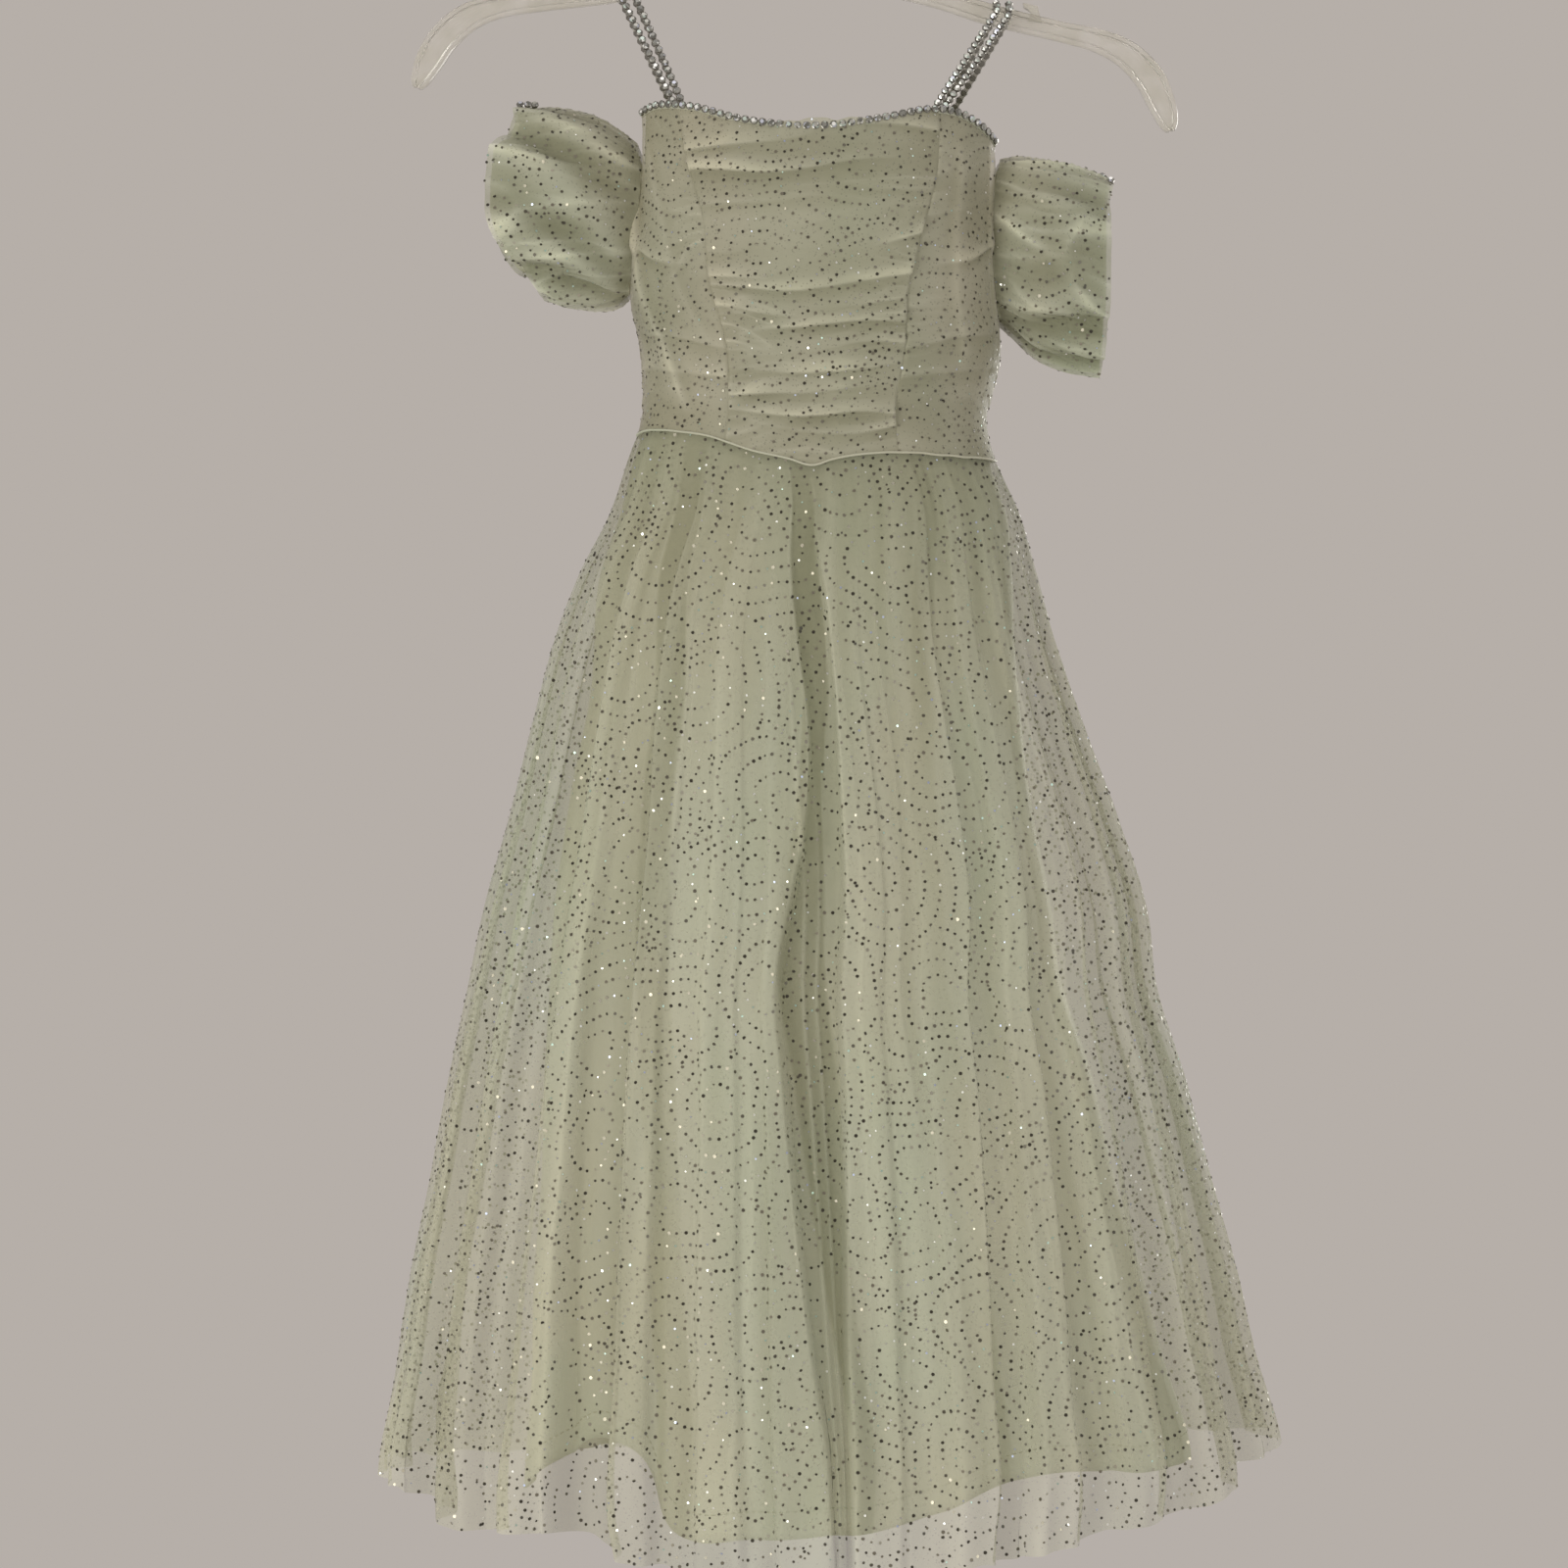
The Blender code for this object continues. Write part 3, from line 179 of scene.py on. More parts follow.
# Waves on the skirts and the satin: height, width in degrees, length in millimetres and seed
Wave = namedtuple("Wave", "height width length seed")
TULLE_WAVES = Wave(2.0, 9, 170, 11)
TULLE_FINE = Wave(0.7, 3.0, 110, 12)
TULLE_GATHERS = Wave(0.8, 1.7, 60, 13)
TULLE_FLUTTER = Wave(3.6, 3.2, 45, 14)
TULLE_SWAY = Wave(0.5, 9, 120, 17)
TULLE_CLOUDS = Wave(0.15, 2.6, 150, 18)
LINING_WAVES = Wave(1.0, 11, 190, 21)
LINING_FINE = Wave(0.6, 4, 90, 22)
LINING_CLOUDS = Wave(0.1, 5, 120, 23)
SATIN_WAVES = Wave(0.25, 8, 14, 61)
SATIN_INSIDE = 0.9
# Waves of the hems: height, width in degrees and seed
TULLE_HEM_WAVE = (1.6, 3.1, 71)
LINING_HEM_WAVE = (0.6, 5, 72)

# The lining's cloth: its column steps and rows by the overskirt's, and the row that its hem's stitches follow
LINING_COARSER = 2.1
LINING_ROWS = 0.75
HEM_STITCH_ROW = -3
STITCH_GAP = 3.4
STITCH_SHARE = 0.68
THREAD = 0.3

# The zip's tapes: first and last drop and number of rows, the drop of the waist, their place and half width
ZIP_DROPS = (180, 430, 160)
ZIP_WAIST = 331
ZIP_TAPE_OUT = 1.6
ZIP_TAPE_HALF = 1.4
# The tapes' outer face rises clear of the swags that end at them: how far, from what drop, over what length
ZIP_RISE = 0.4
ZIP_RISE_START = 206
ZIP_RISE_LENGTH = 12

# Ruching: a pleat's drop at the left seam, the middle and the right seam, with its height and width
Ruche = namedtuple("Ruche", "left middle right height width")
CENTRE_RUCHES = table(
    Ruche, (184, 179, 175, 2.0, 3.4), (199, 196, 191, 2.0, 3.2), (214, 209, 203, 0.9, 4.0),
    (226, 222, 217, 0.9, 4.2), (240, 237, 228, 2.2, 3.4), (249, 252, 240, 1.8, 3.2),
    (256, 259, 251, 1.8, 2.8), (265, 268, 263, 1.5, 3.0), (277, 276, 273, 1.8, 3.2),
    (286, 288, 284, 1.4, 3.2), (297, 298, 294, 1.9, 3.0), (306, 309, 305, 1.7, 2.8),
    (315, 319, 316, 2.0, 2.8), (322, 328, 326, 1.8, 2.8),
)
SIDE_RUCHES = table(
    Ruche, (188, 195, 189, 0.5, 4.5), (219, 212, 205, 0.9, 4.5), (243, 236, 229, 1.1, 4.2),
    (268, 260, 252, 1.1, 4.0), (283, 278, 270, 1.2, 3.6), (298, 292, 290, 1.2, 3.6),
    (314, 307, 309, 0.7, 3.4),
)
SWAG_ABOVE = 2.9
SWAG_BELOW = 0.33
# Humps of tulle above the trim at the centre front: angle, width, power and height
NECK_HUMPS = ((-1, 5.0, 4, 3.4), (9, 4.0, 2, 2.2), (-9, 3.0, 2, 1.6))

# Long soft folds on the side panels: from a share of the width and a drop to another, with height and width
DrapedFold = namedtuple("DrapedFold", "share drop end_share end height width")
LEFT_DRAPES = table(
    DrapedFold, (0.93, 182, 0.3, 318, 2.7, 0.14), (0.55, 172, 0.12, 285, 1.2, 0.14),
)
RIGHT_DRAPES = table(
    DrapedFold, (0.2, 180, 0.42, 300, 1.5, 0.15), (0.6, 178, 0.86, 290, 1.2, 0.13),
)
SATIN_GRID = (81, 50)

# The sleeves as tubes: the ring's top and bottom drops and its reach to the front and back
SleeveRing = namedtuple("SleeveRing", "along top bottom front back squareness")
LEFT_SLEEVE = table(
    SleeveRing, (0.0, 176.0, 255.5, 18.6, 18.4, 3.0), (0.12, 170.0, 258.5, 23.0, 22.0, 2.8),
    (0.3, 162.5, 260.0, 29.0, 27.0, 2.5), (0.55, 157.5, 259.0, 33.0, 30.0, 2.3),
    (0.8, 155.5, 257.5, 32.5, 30.0, 2.3), (1.0, 155.0, 256.0, 28.0, 27.0, 2.3),
)
RIGHT_SLEEVE = table(
    SleeveRing, (0.0, 184.5, 268.5, 18.6, 18.4, 3.0), (0.12, 184.0, 274.0, 23.0, 22.0, 2.8),
    (0.3, 184.5, 283.0, 29.0, 27.0, 2.5), (0.55, 186.5, 289.5, 33.0, 30.0, 2.3),
    (0.8, 191.0, 292.5, 32.5, 30.0, 2.3), (1.0, 196.0, 293.5, 28.0, 27.0, 2.3),
)
Sleeve = namedtuple("Sleeve", "side rings cuff_top cuff_middle cuff_bottom folds seed pinch")
SleeveFold = namedtuple("SleeveFold", "cuff root depth width")
LEFT_SLEEVE_FOLDS = table(
    SleeveFold, (50, 4, 5.0, 13), (5, -38, 3.5, 12), (-48, -66, 4.0, 11), (86, 60, 2.5, 14),
    (140, 172, 4.0, 14), (190, 215, 3.5, 13), (236, 248, 3.5, 12),
)
RIGHT_SLEEVE_FOLDS = table(
    SleeveFold, (38, 28, 2.5, 14), (2, -14, 3.0, 13), (-34, -60, 5.0, 13), (-72, -80, 3.0, 11),
    (140, 165, 3.5, 14), (190, 212, 3.5, 13), (236, 248, 3.5, 12),
)
SLEEVES = {
    "left": Sleeve(-1, LEFT_SLEEVE, -146.0, -161.5, -130.5, LEFT_SLEEVE_FOLDS, 31, 6.5),
    "right": Sleeve(1, RIGHT_SLEEVE, 156.5, 154.5, 151.0, RIGHT_SLEEVE_FOLDS, 47, 1.0),
}
# The sleeves' cloths: points round and along, how far inside, and the share of the length
SLEEVE_TULLE = (240, 90, 0.0, 1.0)
SLEEVE_LINING = (140, 44, 2.2, 0.975)
SLEEVE_PINCH = 46
SLEEVE_PINCH_WIDTH = 13
SLEEVE_CLEARANCE = 1.35
SLEEVE_FOLD_END = 0.72
SLEEVE_FOLD_RISE = 0.8
# Wrinkles along a sleeve: fineness, drift both ways, what is added to the seed, sharpness and height
WRINKLES = ((1.3, 1.0, 0.8, 0, 4, 2.4), (2.6, 1.2, -1.1, 1, 4, 1.1), (5.0, 1.6, 1.0, 3, 5, 0.5))

# The hanger's arms before it is rolled: distance from the middle, drop and depth of the section
HANGER_ROLL = 3.3
HOOK_RADIUS = 20.0
ARMS_OFFSET = 2.5
ArmStation = namedtuple("ArmStation", "out below depth")
ARM = table(
    ArmStation, (0, 82.5, 14), (18, 87.0, 11.5), (41, 91.8, 10.5), (72, 97.8, 10.5), (97, 104.4, 10.5),
    (132, 110.8, 10), (152, 114.4, 11.5), (168, 120.8, 14), (180, 132.0, 15), (187, 144.3, 14),
    (191, 154.0, 10), (192.5, 158.5, 5),
)
ARM_STEPS = 90
FLANGE_HALF = 2.8
FLANGE_DEPTH = 2.4
WEB_HALF = 1.2
FINGER_OUT = 118.0
FINGER_OUTLINE = ((-4.5, 5.5), (3.0, 4.2), (5.5, -3.5), (-1.0, -3.5), (-0.5, 1.5), (-4.0, 3.4))
FINGER_HALF = 1.9
BOSS_RADIUS = 5.2
BOSS_TOP = 71.5
BOSS_BOTTOM = 86.0

# Straps: where each foot meets the front and back of the neckline, and where it crosses the arm
Strap = namedtuple("Strap", "name front_angle arm_x back_angle")
STRAPS = table(
    Strap, ("strap_left", -51, -92.5, -135.5), ("strap_right", 41.5, 101.0, 145),
)
STRAP_THICKNESS = 1.8
STRAP_OVER_ARM = 6.2
STRAP_LIFT = 0.6
STRAP_WRAP = 78
STRAP_FOOT_GAP = 0.5

# A stone's rings: reach and height in radii, and twist in eighths of a turn; then where stones are sewn
STONE_PROFILE = ((0.72, -0.75, 0.0), (1.0, -0.35, 0.0), (1.02, 0.12, 0.0), (0.86, 0.2, 0.5), (0.5, 0.62, 0.0))
NECK_TRIMS = {
    "neck_trim_front": (-76, 76),
    "neck_trim_back_right": (108, 179.2),
    "neck_trim_back_left": (-179.2, -108),
}
SLEEVE_STONES = {"left": (92, 76, 3), "right": (78, 92, 3)}

# Tones: the painted shading level of plain, unshaded cloth, where a dot's tone turns to a painted glint, and
# the faint tints that cloud the cloth
UNSHADED_LEVEL = 0.64
GLINT_DOTS = 0.82
CLOTH_TINTS = (
    (0.32, (0.955, 1.0, 0.96)),
    (0.45, (1.0, 1.0, 1.0)),
    (0.56, (1.03, 0.995, 0.985)),
    (0.7, (1.03, 0.985, 0.94)),
)
# How fine the net, its specks and the satin's weave are, by the flat cut in metres
NET_SCALE = 1100.0
SPECK_SCALE = 520.0
WEAVE_SCALE = 900.0
DOT_LIFT = 0.25
FOUND_WITHIN = 0.3

# The photograph's viewpoint and frame, the floor and the lights; places and the lights' sizes are in metres
CAMERA_PLACE = (-0.0105, -2.0, -0.5025)
CAMERA_LENS = 90.0
CAMERA_SENSOR = 36.0
FLOOR_SIDES = 96
FLOOR_RADII = (400, 1200)
Light = namedtuple("Light", "name place aim size setting share colour")
LIGHTS = table(
    Light,
    ("key", (-1.6, -1.9, -0.75), (0, 0, -0.72), (1.1, 1.1), "key_power", 1, (1.0, 0.99, 0.94)),
    ("fill", (1.9, -1.3, -0.7), (0, 0, -0.65), (1.4, 1.8), "fill_power", 1, (0.95, 0.98, 1.0)),
    ("top", (0.2, -0.5, 1.4), (0, 0, -0.3), (1.2, 1.2), "fill_power", 0.6, (1.0, 0.97, 0.98)),
    ("back", (1.3, 1.9, -0.3), (0, 0, -0.6), (1.2, 1.2), "key_power", 0.6, (1.0, 0.99, 0.95)),
)


# Curves, ovals and folds
def column(rows, name):
    return np.array([getattr(row, name) for row in rows], float)


def smooth(at, places, values):
    """A cubic through the rows, each row's slope taken from its neighbours, held level past both ends."""
    slopes = np.gradient(values, places)
    at = np.clip(at, places[0], places[-1])
    row = np.clip(np.searchsorted(places, at, side="right") - 1, 0, len(places) - 2)
    step = places[row + 1] - places[row]
    u = (at - places[row]) / step
    start = (2 * u**3 - 3 * u**2 + 1) * values[row] + (u**3 - 2 * u**2 + u) * step * slopes[row]
    end = (3 * u**2 - 2 * u**3) * values[row + 1] + (u**3 - u**2) * step * slopes[row + 1]
    return start + end


def curve(rows, at, by, name):
    """The smooth curve of one column of a table over another."""
    return smooth(at, column(rows, by), column(rows, name))


def signed(angle):
    """An angle brought to between -180 and 180."""
    return (np.asarray(angle, float) + 180) % 360 - 180


def fade_in(value, length, start=0.0):
    """0 up to a start, 1 from a length beyond it, straight between."""
    return np.clip((value - start) / length, 0, 1)


def bell(away, power=2):
    return np.exp(-(away**power))


def unit(vectors):
    return vectors / np.maximum(np.linalg.norm(vectors, axis=-1, keepdims=True), 1e-9)


def full_turn(count):
    return np.linspace(0, 2 * pi, count, endpoint=False)


def edge_drop(edge, angle):
    """The drop of an edge that runs round the body: the smooth curve through its table."""
    return curve(edge, signed(angle), "angle", "drop")


def seam(edge):
    """A seam that leans as it goes down: its angle at each drop."""
    return lambda drop: curve(edge, drop, "drop", "angle")


def upright(angle):
    """A seam that stands at one angle."""
    return lambda drop: angle + 0 * drop


def oval(angle, drop, left, right, front, back):
    """x is the middle plus the half width times sin; y is the reach times |cos| to a power under 1."""
    turn = np.radians(angle)
    ahead = np.cos(turn)
    x = (left + right) / 2 + (right - left) / 2 * np.sin(turn)
    y = np.where(ahead > 0, -front, back) * np.abs(ahead) ** ROUNDING
    return np.stack([x, y, -np.asarray(drop, float) + 0 * x], axis=-1)


def reaches(rows, drop):
    return [curve(rows, drop, "drop", side) for side in ("left", "right", "front", "back")]


def body(angle, drop):
    """The plain body: the oval of each drop, at height minus the drop."""
    return oval(angle, drop, *reaches(BODY, drop))


def drawn_in(angle, drop, inward, inset=(0, 0, 0, 0)):
    """The body's oval with each reach less its inset and the depth of the folds."""
    left, right, front, back = reaches(BODY, drop)
    return oval(
        angle,
        drop,
        left + inset[0] + inward,
        right - inset[1] - inward,
        front - inset[2] - inward,
        back - inset[3] - inward,
    )


def waist_below(drop, angle):
    """The share of the skirt's length at a drop, 0 at the waist."""
    return fade_in(drop, SKIRT_LENGTH, edge_drop(WAIST_EDGE, angle))


def fold_places(folds, angle, fall):
    """Each fold with its distance from every point, counted in the fold's own half widths."""
    for fold in folds:
        if fold == CENTRE_FOLD:
            centre, width = (curve(CENTRE_COURSE, fall, "fall", name) for name in ("middle", "half"))
        else:
            centre = fold.waist + (fold.hem - fold.waist) * fall
            widths = np.array([fold.waist_width, fold.middle_width, fold.hem_width])
            width = smooth(fall, np.array([0, MIDDLE_OF_SKIRT, 1]), widths)
        yield fold, np.abs(signed(angle - centre)) / width


def trough(folds, angle, fall, crispness=1.0):
    """The sum of the folds: each one's depth times the fall times exp of minus its distance to a power."""
    narrowing = CRISP_NARROWING if crispness > 1 else 1
    total = 0 * fall
    for fold, away in fold_places(folds, angle, fall):
        total = total + fold.depth * fall * bell(away * narrowing, fold.squareness * crispness)
    return total


def fold_shade(folds, angle, fall, seed):
    """Painted light on the cloth: painted shade near the waist and in troughs, with a painted highlight line
    where a wall begins.
    """
    # dark gathers the painted shade of the troughs and pale gathers their painted highlight lines
    dark, pale = 0 * fall, 0 * fall
    for count, (fold, away) in enumerate(fold_places(folds, angle, fall)):
        deep = np.clip((fold.depth - SHALLOW) / (DEEPEST - SHALLOW), 0.1, 1.0) * fade_in(fall, 0.12) ** 0.5
        uneven = 0.8 + 0.35 * noise(fall * 3 + count, (away + count) * 1.5, seed + 1)
        dark = np.maximum(dark, deep * uneven * bell(away / TROUGH_EDGE, 12))
        line = bell((away - HIGHLIGHT_LINE) / HIGHLIGHT_LINE_WIDTH) * (0.65 + 0.5 * noise(fall * 4, count, seed))
        line = line * np.clip(1.5 - 1.3 * np.abs(np.sin(np.radians(angle))), 0.2, 1)
        pale = np.maximum(pale, deep * line)
    return SKIRT_TONE - WAIST_SHADE * np.exp(-fall / 0.17) - TROUGH_SHADE * dark + LINE_HIGHLIGHT * pale


def room_inside(angle, drop, fall):
    """How far in the lining lies: its end inset times cos squared plus its side inset times sin squared."""
    left, right, front, back = reaches(LINING_INSET, drop)
    turn = np.radians(angle)
    side = np.where(np.sin(turn) < 0, left, right)
    ahead = np.where(np.cos(turn) > 0, front, back)
    return ahead * np.cos(turn) ** 2 + side * np.sin(turn) ** 2 + trough(LINING_FOLDS, angle, fall)


def overskirt(angle, drop, crispness=1.0):
    """The overskirt's face: the body's oval less its folds; crisp folds stop short of the lining inside."""
    fall = waist_below(drop, angle)
    inward = trough(OVERSKIRT_FOLDS, angle, fall, crispness)
    if crispness > 1:
        inward = np.minimum(inward, np.maximum(room_inside(angle, drop, fall) - LAYER_GAP, 0))
    return drawn_in(angle, drop, inward)


def lining(angle, drop):
    """The lining's face: the overskirt's oval less the inset and the lining's own folds."""
    inward = trough(LINING_FOLDS, angle, waist_below(drop, angle))
    return drawn_in(angle, drop, inward, reaches(LINING_INSET, drop))


def off_body(angle, drop, out):
    """The body's points moved out along the level part of its normals."""
    across = body(angle + 0.3, drop) - body(angle - 0.3, drop)
    normal = unit(np.stack([across[..., 1], -across[..., 0], 0 * across[..., 0]], axis=-1))
    return body(angle, drop) + normal * np.asarray(out)[..., None]


def neck_drop(angle):
    """The neck edge's drop, lowered to each armhole's bottom along a squared half circle."""
    drop = edge_drop(NECK_EDGE, angle)
    for armhole in ARMHOLES:
        middle = armhole.side * (armhole.front + armhole.back) / 2
        across = np.abs((angle - middle) / ((armhole.back - armhole.front) / 2))
        scoop = np.clip(1 - across**ARMHOLE_SQUARENESS, 0, 1) ** (1 / ARMHOLE_SQUARENESS)
        drop = drop + scoop * (armhole.bottom - drop)
    return drop


def panel_grid(start, end, columns, rows):
    """Shares, falls, angles and drops between two seams: each column starts where it meets the neck edge."""
    shares, falls = np.linspace(0, 1, columns), np.linspace(0, 1, rows)
    drops = np.linspace(*NECK_SEARCH)[:, None]
    angles = start(drops) + (end(drops) - start(drops)) * shares
    top = drops[np.argmax(drops >= neck_drop(angles), axis=0), 0]
    drop = top + 0 * shares
    angle = start(drop) + (end(drop) - start(drop)) * shares
    for _ in range(6):
        drop = top + falls[:, None] * (edge_drop(WAIST_EDGE, angle) - top)
        angle = start(drop) + (end(drop) - start(drop)) * shares
    return shares, falls, angle, drop


def body_side(side, reach_y, drop):
    """How far out the body reaches at a side, from the oval's equation solved for x."""
    left, right, front, back = reaches(BODY, drop)
    ahead = np.clip(np.abs(reach_y) / np.where(reach_y < 0, front, back), 0, 1) ** (1 / ROUNDING)
    return (left + right) / 2 + side * (right - left) / 2 * np.sqrt(1 - ahead**2)


def sleeve_form(sleeve, turn, along):
    """A tube: superellipse rings in the side view, spread from the body's side to the cuff's curve."""
    top, bottom, front, back, squareness = (
        curve(sleeve.rings, along, "along", name) for name in SleeveRing._fields[1:]
    )
    turned = np.radians(turn) * sleeve.side
    ahead, up = np.cos(turned), np.sin(turned)
    bulge = 2 / squareness
    swell = np.sin(np.pi * SLEEVE_FOLD_END * np.clip(along, 0, 1) ** SLEEVE_FOLD_RISE)
    inward = 0 * ahead
    for fold in sleeve.folds:
        away = np.abs(signed(turn * sleeve.side - (fold.root + (fold.cuff - fold.root) * along))) / fold.width
        inward = inward + fold.depth * swell * bell(away)
    shrink = 1 - inward / ((bottom - top) / 2)
    y = np.where(ahead > 0, -front, back) * np.abs(ahead) ** bulge * shrink
    z = -(top + bottom) / 2 + (bottom - top) / 2 * np.sign(up) * np.abs(up) ** bulge * shrink
    root = body_side(sleeve.side, y, -z) + sleeve.side * SLEEVE_CLEARANCE
    end = np.where(up > 0, sleeve.cuff_top, sleeve.cuff_bottom)
    cuff = sleeve.cuff_middle + (end - sleeve.cuff_middle) * up**2
    return np.stack([root + (cuff - root) * along, y, z], axis=-1), inward


# Grids of cloth and what is laid on them
# A cloth's points, its flat cut, and its painted shade and highlights with a little random tone, which set its
# colour
Cloth = namedtuple("Cloth", "points flat relief")


def noise(x, y, seed):
    """Random numbers at whole-number points, from -1 to 1, joined by smooth steps."""
    values = np.random.default_rng(seed).uniform(-1, 1, (64, 64))
    x, y = np.broadcast_arrays(np.asarray(x, float), np.asarray(y, float))
    left, top = np.floor(x).astype(int), np.floor(y).astype(int)
    u, v = x - left, y - top
    u, v = u * u * (3 - 2 * u), v * v * (3 - 2 * v)
    above, below = (
        values[left % 64, row % 64] * (1 - u) + values[(left + 1) % 64, row % 64] * u for row in (top, top + 1)
    )
    return above * (1 - v) + below * v


def ripple(angle, drop, wave):
    return wave.height * noise(angle / wave.width, drop / wave.length, wave.seed)


def creases(x, y, seed, sharpness):
    """Narrow ridges along the zero lines of a noise: one minus its size, to a power."""
    return (1 - np.abs(noise(x, y, seed))) ** sharpness


def normals_of(points):
    """Unit normals of a grid: its step down crossed with its step across."""
    return unit(np.cross(np.gradient(points, axis=0), np.gradient(points, axis=1)))


def raised(points, height):
    return points + normals_of(points) * height[..., None]


def run_lengths(points, axis=0):
    """Distances along a path or a grid from its first point, row or column, added up."""
    run = np.cumsum(np.linalg.norm(np.diff(points, axis=axis), axis=-1), axis=axis)
    return np.concatenate([0 * run.take([0], axis), run], axis=axis)


def at_run(places, run, values):
    """Values along a path at other distances than its own points'."""
    return np.stack([np.interp(places, run, values[:, axis]) for axis in range(values.shape[1])], axis=1)


def flat_cut(points, cut):
    """Where each point lies on the cut cloth: part of a ring for a flared skirt, else across and down.

    On a panel of the body the way across counts level steps alone, because its rows slope at the armholes.
    """
    across = run_lengths(points[..., :2] if cut == "panel" else points, 1)
    across = across - across[:, across.shape[1] // 2][:, None]
    down = run_lengths(points, 0)
    if cut == "tube":
        return np.stack([across, down], axis=-1)
    if cut == "panel":
        return np.stack([across, down - points[0, :, 2]], axis=-1)
    narrow, wide = np.ptp(across[0]), np.ptp(across[-1])
    radius = down[-1].mean() * narrow / (wide - narrow)
    turn = across / (radius + down.mean(axis=1))[:, None]
    ring = radius + down
    return np.stack([ring * np.sin(turn), ring * np.cos(turn)], axis=-1)


def sample(grid, row, col):
    """Values between a grid's points, weighted by the four nearest, and their steps by row and by column."""
    top = np.clip(np.floor(row).astype(int), 0, grid.shape[0] - 2)
    left = np.clip(np.floor(col).astype(int), 0, grid.shape[1] - 2)
    v, u = (row - top)[:, None], (col - left)[:, None]
    corners = [[grid[top + down, left + over] for over in (0, 1)] for down in (0, 1)]
    above, below = (first * (1 - u) + second * u for first, second in corners)
    by_col = (corners[0][1] - corners[0][0]) * (1 - v) + (corners[1][1] - corners[1][0]) * v
    return above * (1 - v) + below * v, below - above, by_col


def find_on_cloth(flat, wanted):
    """Rows and columns whose flat place is the wanted one, by Newton's steps from the nearest coarse point."""
    rows = np.linspace(0, flat.shape[0] - 1, 14).astype(int)
    cols = np.linspace(0, flat.shape[1] - 1, 26).astype(int)
    coarse = flat[np.ix_(rows, cols)].reshape(-1, 2)
    far = (wanted**2).sum(1)[:, None] - 2 * wanted @ coarse.T + (coarse**2).sum(1)[None]
    nearest = np.argmin(far, axis=1)
    row, col = rows[nearest // len(cols)].astype(float), cols[nearest % len(cols)].astype(float)
    for _ in range(10):
        place, by_row, by_col = sample(flat, row, col)
        miss = wanted - place
        size = by_row[:, 0] * by_col[:, 1] - by_row[:, 1] * by_col[:, 0]
        size = np.where(np.abs(size) < 1e-6, 1e-6, size)
        row = row + (miss[:, 0] * by_col[:, 1] - miss[:, 1] * by_col[:, 0]) / size
        col = col + (by_row[:, 0] * miss[:, 1] - by_row[:, 1] * miss[:, 0]) / size
        row, col = np.clip(row, 0, flat.shape[0] - 1), np.clip(col, 0, flat.shape[1] - 1)
    found = np.linalg.norm(wanted - sample(flat, row, col)[0], axis=1) < FOUND_WITHIN
    return row[found], col[found]


# Meshes
def quads(index):
    """The four-cornered faces of a grid of point numbers."""
    return np.stack([index[:-1, :-1], index[1:, :-1], index[1:, 1:], index[:-1, 1:]], axis=-1).reshape(-1, 4)


def tube_faces(levels, around, turned_over=False):
    """The faces of a tube of rings and of its two ends, for rings that run one way round or the other."""
    index = np.arange(levels * around).reshape(levels, around)
    sides, ends = quads(np.hstack([index, index[:, :1]])), [index[0], index[-1, ::-1]]
    if turned_over:
        sides, ends = sides[:, [0, 3, 2, 1]], [end[::-1] for end in ends]
    return sides.tolist() + [end.tolist() for end in ends]


def copied(faces, size, count):
    """The faces of one small shape of so many points, repeated for all its copies."""
    return [[corner + base * size for corner in face] for base in range(count) for face in faces]


def add_values(mesh, name, domain, values):
    """An attribute with one number for each point or face."""
    numbers = np.asarray(values, np.float32).ravel()
    mesh.attributes.new(name, "FLOAT", domain).data.foreach_set("value", numbers)


def new_piece(name, points, faces, finishes, smooth_faces=True):
    """A piece at the origin from points in millimetres, with one material or several."""
    mesh = bpy.data.meshes.new(name)
    mesh.from_pydata((points.reshape(-1, 3) * MM).tolist(), [], faces)
    for finish in finishes:
        mesh.materials.append(finish)
    if smooth_faces:
        mesh.shade_smooth()
    piece = bpy.data.objects.new(name, mesh)
    bpy.context.scene.collection.objects.link(piece)
    return piece


def cloth_piece(name, cloth, finish, closed=False, thickness=0.0):
    """A sheet from a grid of cloth, with its flat cut as UV and its painted shading and tone as an attribute.
    """
    rows, cols = cloth.points.shape[:2]
    index = np.arange(rows * cols).reshape(rows, cols)
    corners = quads(index)
    kept = cols - 1 if closed else cols
    vertex = (index // cols) * kept + (index % cols) % kept
    piece = new_piece(name, cloth.points[:, :kept], vertex.reshape(-1)[corners].tolist(), [finish])
    flat = cloth.flat.reshape(-1, 2)[corners.reshape(-1)] * MM
    piece.data.uv_layers.new(name="cut").data.foreach_set("uv", flat.astype(np.float32).ravel())
    add_values(piece.data, "relief", "POINT", cloth.relief[:, :kept])
    if thickness:
        wall = piece.modifiers.new("cloth thickness", "SOLIDIFY")
        wall.thickness = thickness * MM
        wall.offset = -1
    return piece


def swept_piece(name, rings, finish, smooth_faces=True):
    """A closed solid from rings of points along a path, its two ends closed by faces."""
    piece = new_piece(name, rings, tube_faces(*rings.shape[:2]), [finish], smooth_faces)
    add_values(piece.data, "relief", "POINT", np.full(rings.shape[:2], UNSHADED_LEVEL))
    if smooth_faces:
        piece.data.set_sharp_from_angle(angle=radians(50))
    return piece


def settle(piece, replaced=()):
    """Rides on its body and stands for the solids it replaces, which it hides."""
    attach(piece, BODY_NAME)
    if replaced:
        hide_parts(*replaced)
    return piece


def settle_sheet(name, cloth, finish, slot_name, replaced, held, rests_on, **form):
    """A settled sheet cut from a cloth, whose flat width and length in metres are worked out."""
    piece = settle(cloth_piece(name, cloth, finish, **form), replaced)
    flat = cloth.flat * MM
    width, length = np.ptp(flat[..., 0]), np.ptp(flat[..., 1])


